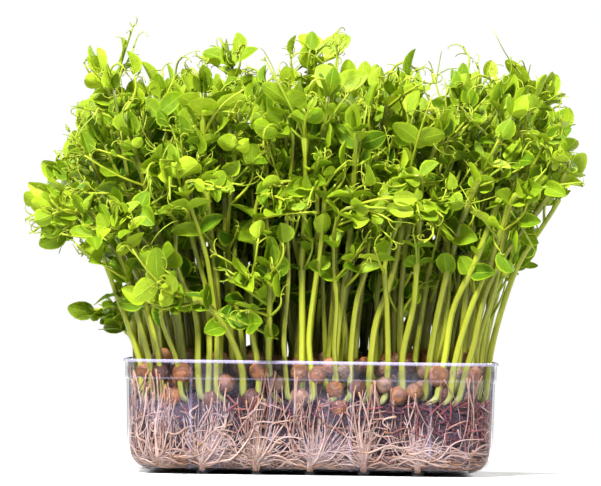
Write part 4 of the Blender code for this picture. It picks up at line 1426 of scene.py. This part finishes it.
def grow_more_shoots(room, shoots, count):
    """Stems against the long walls and between the solid ones, in whatever room is left."""
    draw = random.Random(SEED + 3)
    feet = [(shoot.spine[0].x, shoot.spine[0].y) for shoot in shoots]
    rows = []
    for side, columns in ((0, FRONT_FEET), (2, BACK_FEET)):
        for x in columns:
            y = wall_point(side, x * MM, SHOOT_FOOT, WALL_MARGIN)[1]
            rows.append((x * MM, y - math.copysign(draw.uniform(0, 0.8) * MM, y)))
    places = rows + scatter(draw, feet + rows, count, FILL_SPACING, FILL_MARGIN)
    added = []
    for index, (x, y) in enumerate(places):
        for _ in range(TRIES):
            route = free_route(draw, x, y, LOOSENESS)
            if index < len(rows):
                route = shortened(draw, route)
            spine = wavy(draw, smooth_route(route, SPINE_POINTS))
            tips = [spine[-1] + Vector((way * TIP_SPREAD, 0, 0)) for way in (-1, 1)]
            in_tray = all(inside_tray(p.x, p.y, OFF_WALL) for p in spine if p.z < RIM_TOP)
            clear = room.is_clear(len(shoots) + len(added), spine, SLIM_ROOM)
            if in_tray and clear and within_reach(tips, TIP_INSET):
                room.take(len(shoots) + len(added), spine, SLIM_ROOM)
                added.append(Shoot(spine))
                break
    return added


def grow_young(draw, room, owner, shoot, place):
    """A young leaf, still folded, on a curved stalk of its own."""
    _, foot, stem = knot_at(shoot, place)
    for _ in range(FILL_TRIES):
        side = side_of(stem, draw.uniform(0, math.tau))
        reach = draw.uniform(*YOUNG_STALKS) * MM
        bend = stem.cross(side) * draw.uniform(-0.35, 0.35) + side * draw.uniform(0.2, 0.7)
        stalk = []
        for t in even_steps(TENDRIL_RINGS):
            stalk.append(foot + (stem * t + bend * math.sin(math.pi * t * 0.6)) * reach)
        along = (stalk[-1] - stalk[-2]).normalized()
        upper = side_of(along, draw.uniform(0, math.tau))
        length, width = draw.uniform(*YOUNG_LENGTHS) * MM, draw.uniform(*YOUNG_WIDTHS) * MM
        fold, arch = draw.uniform(0.5, 1.0), draw.uniform(-0.2, 0.2)
        young = Blade(stalk[-1], along, upper, length, width, fold, arch)
        points = young.balls()
        if within_reach(points, FILL_INSET) and room.is_clear(owner, points, NEAR_ROOM):
            room.take(owner, points, NEAR_ROOM)
            shoot.blades.append(young)
            shoot.tendrils.append(stalk)
            return


def fill_out(draw, room, owner, shoot):
    """Leaves and tendrils at every knot of the stem that has none yet."""
    if shoot.bud is None:
        grow_tip(draw, room, owner, shoot, NEAR_ROOM, FILL_TRIES)
    for place in KNOTS:
        here = min(0.97, place + draw.uniform(-0.03, 0.03))
        size = (0.55 + 0.45 * math.sin(math.pi * min(1, 0.25 + here * 0.75))) * draw.uniform(0.6, 1.05)
        chance = float(np.interp(here, *LEAFINESS))
        if draw.random() < chance:
            grow_pair(draw, room, owner, shoot, here, NEAR_ROOM, size, FILL_TRIES)
        if draw.random() < 0.85 * chance:
            grow_leaf(draw, room, owner, shoot, here, NEAR_ROOM, size, FILL_TRIES)
        if draw.random() < 0.5 * chance:
            grow_young(draw, room, owner, shoot, here)


def curl(draw, start, direction, length, count):
    """A tendril's end: a line that bends more and more to one side."""
    normal = Vector([draw.gauss(0, 1) for _ in range(3)])
    normal = (normal - direction * normal.dot(direction)).normalized()
    aside = normal.cross(direction)
    turn = draw.choice((-1, 1)) * draw.triangular(0.4, 5, 1.4)
    lift = draw.uniform(-0.3, 0.3)
    points = [start]
    for k in range(1, count):
        s = (k - 0.5) / (count - 1)
        angle = turn * s * s
        heading = direction * math.cos(angle) + aside * math.sin(angle) + normal * lift * s
        points.append(points[-1] + heading * length / (count - 1))
    return points


def any_way(draw):
    return Vector([draw.gauss(0, 1) for _ in range(3)]).normalized()


def dress_tendril(draw, stalk, thick, thin):
    """The leaf stalk, and the curling arms into which it forks."""
    course = smooth_route(stalk, STALK_POINTS)
    thick["spines"].append(course)
    thick["radii"].append(np.linspace(*STALK_RADII, STALK_POINTS) * MM)
    end = (course[-1] - course[-2]).normalized()
    reach = (course[-1] - course[0]).length
    for _ in range(draw.choice((3, 4, 5, 6))):
        start = course[draw.choice((-1, -1, -2, -2, -3))]
        aside = any_way(draw)
        direction = (end + aside * draw.uniform(0.3, 1.1)).normalized()
        length = draw.uniform(*ARM_LENGTHS) * MM
        if draw.random() < LONG_ARM_SHARE:
            length = draw.uniform(*LONG_ARMS) * reach
        points = curl(draw, start, direction, length, CURL_POINTS)
        if within_reach(points, FILL_INSET):
            thin["spines"].append(points)
            thin["radii"].append(np.linspace(*ARM_RADII, CURL_POINTS) * MM)


def add_tuft(draw, bud, thick, thin):
    """Stalks that stand up past the tip leaf, each with short arms at its end."""
    for _ in range(draw.choice((1, 1, 2))):
        direction = (bud.along + any_way(draw) * 0.5 + Vector((0, 0, 0.3))).normalized()
        stalk = curl(draw, bud.foot, direction, draw.triangular(*TUFT_STALKS) * MM, TENDRIL_RINGS)
        if within_reach(stalk, FILL_INSET):
            dress_tendril(draw, stalk, thick, thin)


def dress_bud(draw, shoot):
    """The folded tip leaf, a smaller one inside it, and two young stipules round them."""
    bud = shoot.bud
    if bud is None:
        return []
    along = (bud.along + bud.upper * 0.12).normalized()
    inner = Blade(bud.foot, along, bud.upper, bud.length * 0.75, bud.width * 0.7, 1.1, -0.12)
    leaves = [bud, inner]
    for way in (1, -1):
        side = bud.upper.cross(bud.along) * way
        tilt = math.radians(draw.uniform(45, 70))
        length = bud.length * draw.uniform(0.6, 0.85)
        leaves.append(leaf_blade(bud.foot, bud.along, side, tilt, length, bud.width * 0.7))
    return leaves


def dress_shoots(name, shoots, draw, finishes):
    """One piece with these shoots in full."""
    batch = Batch()
    thick = {"spines": [], "radii": []}
    thin = {"spines": [], "radii": []}
    spines, radii, leaves = [], [], []
    for shoot in shoots:
        slim = 1 if len(shoots) == 1 else draw.uniform(0.7, 0.98)
        foot = shoot.spine[0]
        way = draw.choice((-1, 1))
        if not inside_tray(foot.x, foot.y, HOOK_ROOM):
            way = -math.copysign(1, foot.x)
        hook = Vector((way, draw.uniform(-0.3, 0.3), 0)) * draw.uniform(0.8, 1.5) * MM
        root = [foot + Vector((0, 0, -HOOK_STEP * k)) + hook * k * k / 3 for k in (3, 2, 1)]
        course = root + shoot.spine[::STEM_STEP]
        spines.append(course)
        body = STEM_RADIUS * slim - SLIMMING * np.linspace(0, 1, len(course) - 3) ** 1.3
        for knot in shoot.knots:
            body[knot // STEM_STEP] *= KNOT_SWELL
        radii.append(np.concatenate([[STEM_RADIUS * share for share in HOOK_SHARES], body]))
        leaves += shoot.blades + dress_bud(draw, shoot)
        for stalk in shoot.tendrils:
            dress_tendril(draw, stalk, thick, thin)
        if shoot.bud:
            add_tuft(draw, shoot.bud, thick, thin)
    feet = [shoot.spine[0] for shoot in shoots]
    # Painted shade: stems whose feet stand further in from the walls get a lower tone, which darkens them.
    outness = [max(abs(foot.x) / HALF_LENGTH, abs(foot.y) / HALF_WIDTH) for foot in feet]
    batch.tubes(spines, radii, STEM_SIDES, [0.45 * draw.random() + 0.55 * out**3 for out in outness], 0)
    batch.leaves(leaves, draw, 1)
    for arms, sides in ((thick, STALK_SIDES), (thin, ARM_SIDES)):
        if arms["spines"]:
            batch.tubes(arms["spines"], arms["radii"], sides, [draw.random() for _ in arms["spines"]], 2)
    piece = batch.piece(name, finishes)
    return piece


class PUNNET_OT_shoots(bpy.types.Operator):
    """Grow the bunch: each shoot of the solids in full, and more between them"""

    bl_idname = "punnet.shoots"
    bl_label = "Shoots"

    def execute(self, context):
        settings = context.scene.bunch
        room = Room()
        shoots = grow_solid_shoots(room)
        more = grow_more_shoots(room, shoots, settings.more_shoots)
        for owner, shoot in enumerate(shoots + more):
            fill_out(random.Random(SEED + 500 + owner), room, owner, shoot)
        finishes = [
            stem_material(settings.stem_colour),
            leaf_material(settings.leaf_colour),
            tendril_material(settings.stem_colour),
        ]
        names = list(OUTLYING_ROUTES)
        names += [f"{k:02d}" for k in range(len(names) + 1, len(shoots) + 1)]
        for index, (name, shoot) in enumerate(zip(names, shoots)):
            piece = dress_shoots(f"full_{name}", [shoot], random.Random(SEED + 900 + index), finishes)
            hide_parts(f"shoot_{name}")
        for start in range(0, len(more), PER_PIECE):
            draw = random.Random(SEED + 1500 + start)
            together = more[start : start + PER_PIECE]
            dress_shoots(f"more_shoots_{start // PER_PIECE}", together, draw, finishes)
        return {"FINISHED"}


# Stage

PIXELS_PER_MM = 2.5
PICTURE_WIDTH = 601
PICTURE_HEIGHT = 486
MIDDLE_COLUMN = 312.8  # pixel column of the tray's middle
FLOOR_ROW = 476  # pixel row of the tray's lowest front edge
CAMERA_DISTANCE = 2200 * MM  # to the tray's front wall
CAMERA_HEIGHT = 66 * MM
CAMERA_ROLL = math.radians(0.75)
FLOOR_SIDE = 0.8
FLOOR_FRONT = -0.9
FLOOR_BACK = 0.42
FLOOR_GREY, FLOOR_SEEN = 0.5, 0.95  # as light meets it, and as the camera does
SENSOR = 36
AMBIENT = 0.02
LIT_HEIGHT = 0.08  # at which the lamps are aimed
# Each lamp as (name, place, width, power)
LAMPS = (
    ("key", (-0.42, -1.05, 1.15), 0.22, 72),
    ("fill", (0.75, -1.35, 0.4), 0.4, 8),
    ("left rim", (-1.05, 0.6, 0.8), 0.4, 20),
    ("right rim", (1.05, 0.6, 0.8), 0.4, 20),
)


class PUNNET_OT_stage(bpy.types.Operator):
    """Set a pale floor, soft studio light and the camera"""

    bl_idname = "punnet.stage"
    bl_label = "Stage"

    def execute(self, context):
        self.lay_floor(context)
        self.hang_lights(context)
        self.place_camera(context)
        context.scene.view_settings.view_transform = "Standard"
        return {"FINISHED"}

    def lay_floor(self, context):
        mesh = bpy.data.meshes.new("floor")
        corners = [(-side, y) for side in (FLOOR_SIDE, -FLOOR_SIDE) for y in (FLOOR_FRONT, FLOOR_BACK)]
        left_front, left_back, right_front, right_back = [(x, y, 0) for x, y in corners]
        mesh.from_pydata([left_front, right_front, right_back, left_back], [], [[0, 1, 2, 3]])
        floor = bpy.data.objects.new("floor", mesh)
        context.scene.collection.objects.link(floor)
        made, tree = new_material("pale floor")
        seen = add_node(tree, "ShaderNodeLightPath").outputs["Is Camera Ray"]
        grey = over_range(tree, seen, 0.0, 1.0, FLOOR_GREY, FLOOR_SEEN)
        finish_solid(tree, {"Base Color": grey, "Roughness": 0.9})
        mesh.materials.append(made)

    def hang_lights(self, context):
        world = bpy.data.worlds.new("studio")
        world.use_nodes = True
        tree = world.node_tree
        tree.nodes.clear()
        seen = add_node(tree, "ShaderNodeLightPath").outputs["Is Camera Ray"]
        strength = over_range(tree, seen, 0.0, 1.0, AMBIENT, 1.0)
        backdrop = add_node(tree, "ShaderNodeBackground", {"Color": (1, 1, 1, 1), "Strength": strength})
        add_node(tree, "ShaderNodeOutputWorld", {"Surface": backdrop.outputs[0]})
        context.scene.world = world
        for name, place, size, power in LAMPS:
            lamp = bpy.data.lights.new(name, "AREA")
            lamp.size = size
            lamp.energy = power
            holder = bpy.data.objects.new(name, lamp)
            holder.location = place
            aim = Vector((0, 0, LIT_HEIGHT)) - Vector(place)
            holder.rotation_euler = aim.to_track_quat("-Z", "Y").to_euler()
            context.scene.collection.objects.link(holder)

    def place_camera(self, context):
        lens = bpy.data.cameras.new("camera")
        lens.sensor_width = SENSOR
        pixels_per_unit = PIXELS_PER_MM * CAMERA_DISTANCE / MM
        lens.lens = pixels_per_unit * SENSOR / PICTURE_WIDTH
        camera = bpy.data.objects.new("camera", lens)
        across = (PICTURE_WIDTH / 2 - MIDDLE_COLUMN) / PIXELS_PER_MM * MM
        up = (FLOOR_ROW - PICTURE_HEIGHT / 2) / PIXELS_PER_MM * MM
        aim = Vector((across, -RIM_CORNER[1], up))
        camera.location = (aim.x, aim.y - CAMERA_DISTANCE, CAMERA_HEIGHT)
        turn = (aim - camera.location).to_track_quat("-Z", "Y").to_matrix()
        camera.rotation_euler = (turn @ Matrix.Rotation(CAMERA_ROLL, 3, "Z")).to_euler()
        context.scene.collection.objects.link(camera)
        context.scene.camera = camera


class PUNNET_PT_panel(bpy.types.Panel):
    """Lists the steps in the sidebar"""

    bl_label = "Pea shoots"
    bl_idname = "PUNNET_PT_panel"
    bl_space_type = "VIEW_3D"
    bl_region_type = "UI"
    bl_category = "Pea shoots"

    def draw(self, context):
        for settings in (context.scene.punnet, context.scene.filling, context.scene.bunch):
            for name in settings.__annotations__:
                self.layout.prop(settings, name)
        for step in STEPS:
            self.layout.operator(step.bl_idname)


STEPS = (PUNNET_OT_build, PUNNET_OT_roots, PUNNET_OT_compost, PUNNET_OT_peas, PUNNET_OT_shoots)
STEPS += (PUNNET_OT_stage,)
GROUPS = (("punnet", PunnetSettings), ("filling", FillingSettings), ("bunch", BunchSettings))


def register():
    for name, settings in GROUPS:
        bpy.utils.register_class(settings)
        setattr(bpy.types.Scene, name, PointerProperty(type=settings))
    for step in STEPS:
        bpy.utils.register_class(step)
    bpy.utils.register_class(PUNNET_PT_panel)


def unregister():
    bpy.utils.unregister_class(PUNNET_PT_panel)
    for step in reversed(STEPS):
        bpy.utils.unregister_class(step)
    for name, settings in reversed(GROUPS):
        delattr(bpy.types.Scene, name)
        bpy.utils.unregister_class(settings)


def main():
    register()
    bpy.ops.punnet.build()
    bpy.ops.punnet.roots()
    bpy.ops.punnet.compost()
    bpy.ops.punnet.peas()
    bpy.ops.punnet.shoots()
    bpy.ops.punnet.stage()


if __name__ == "__main__":
    main()
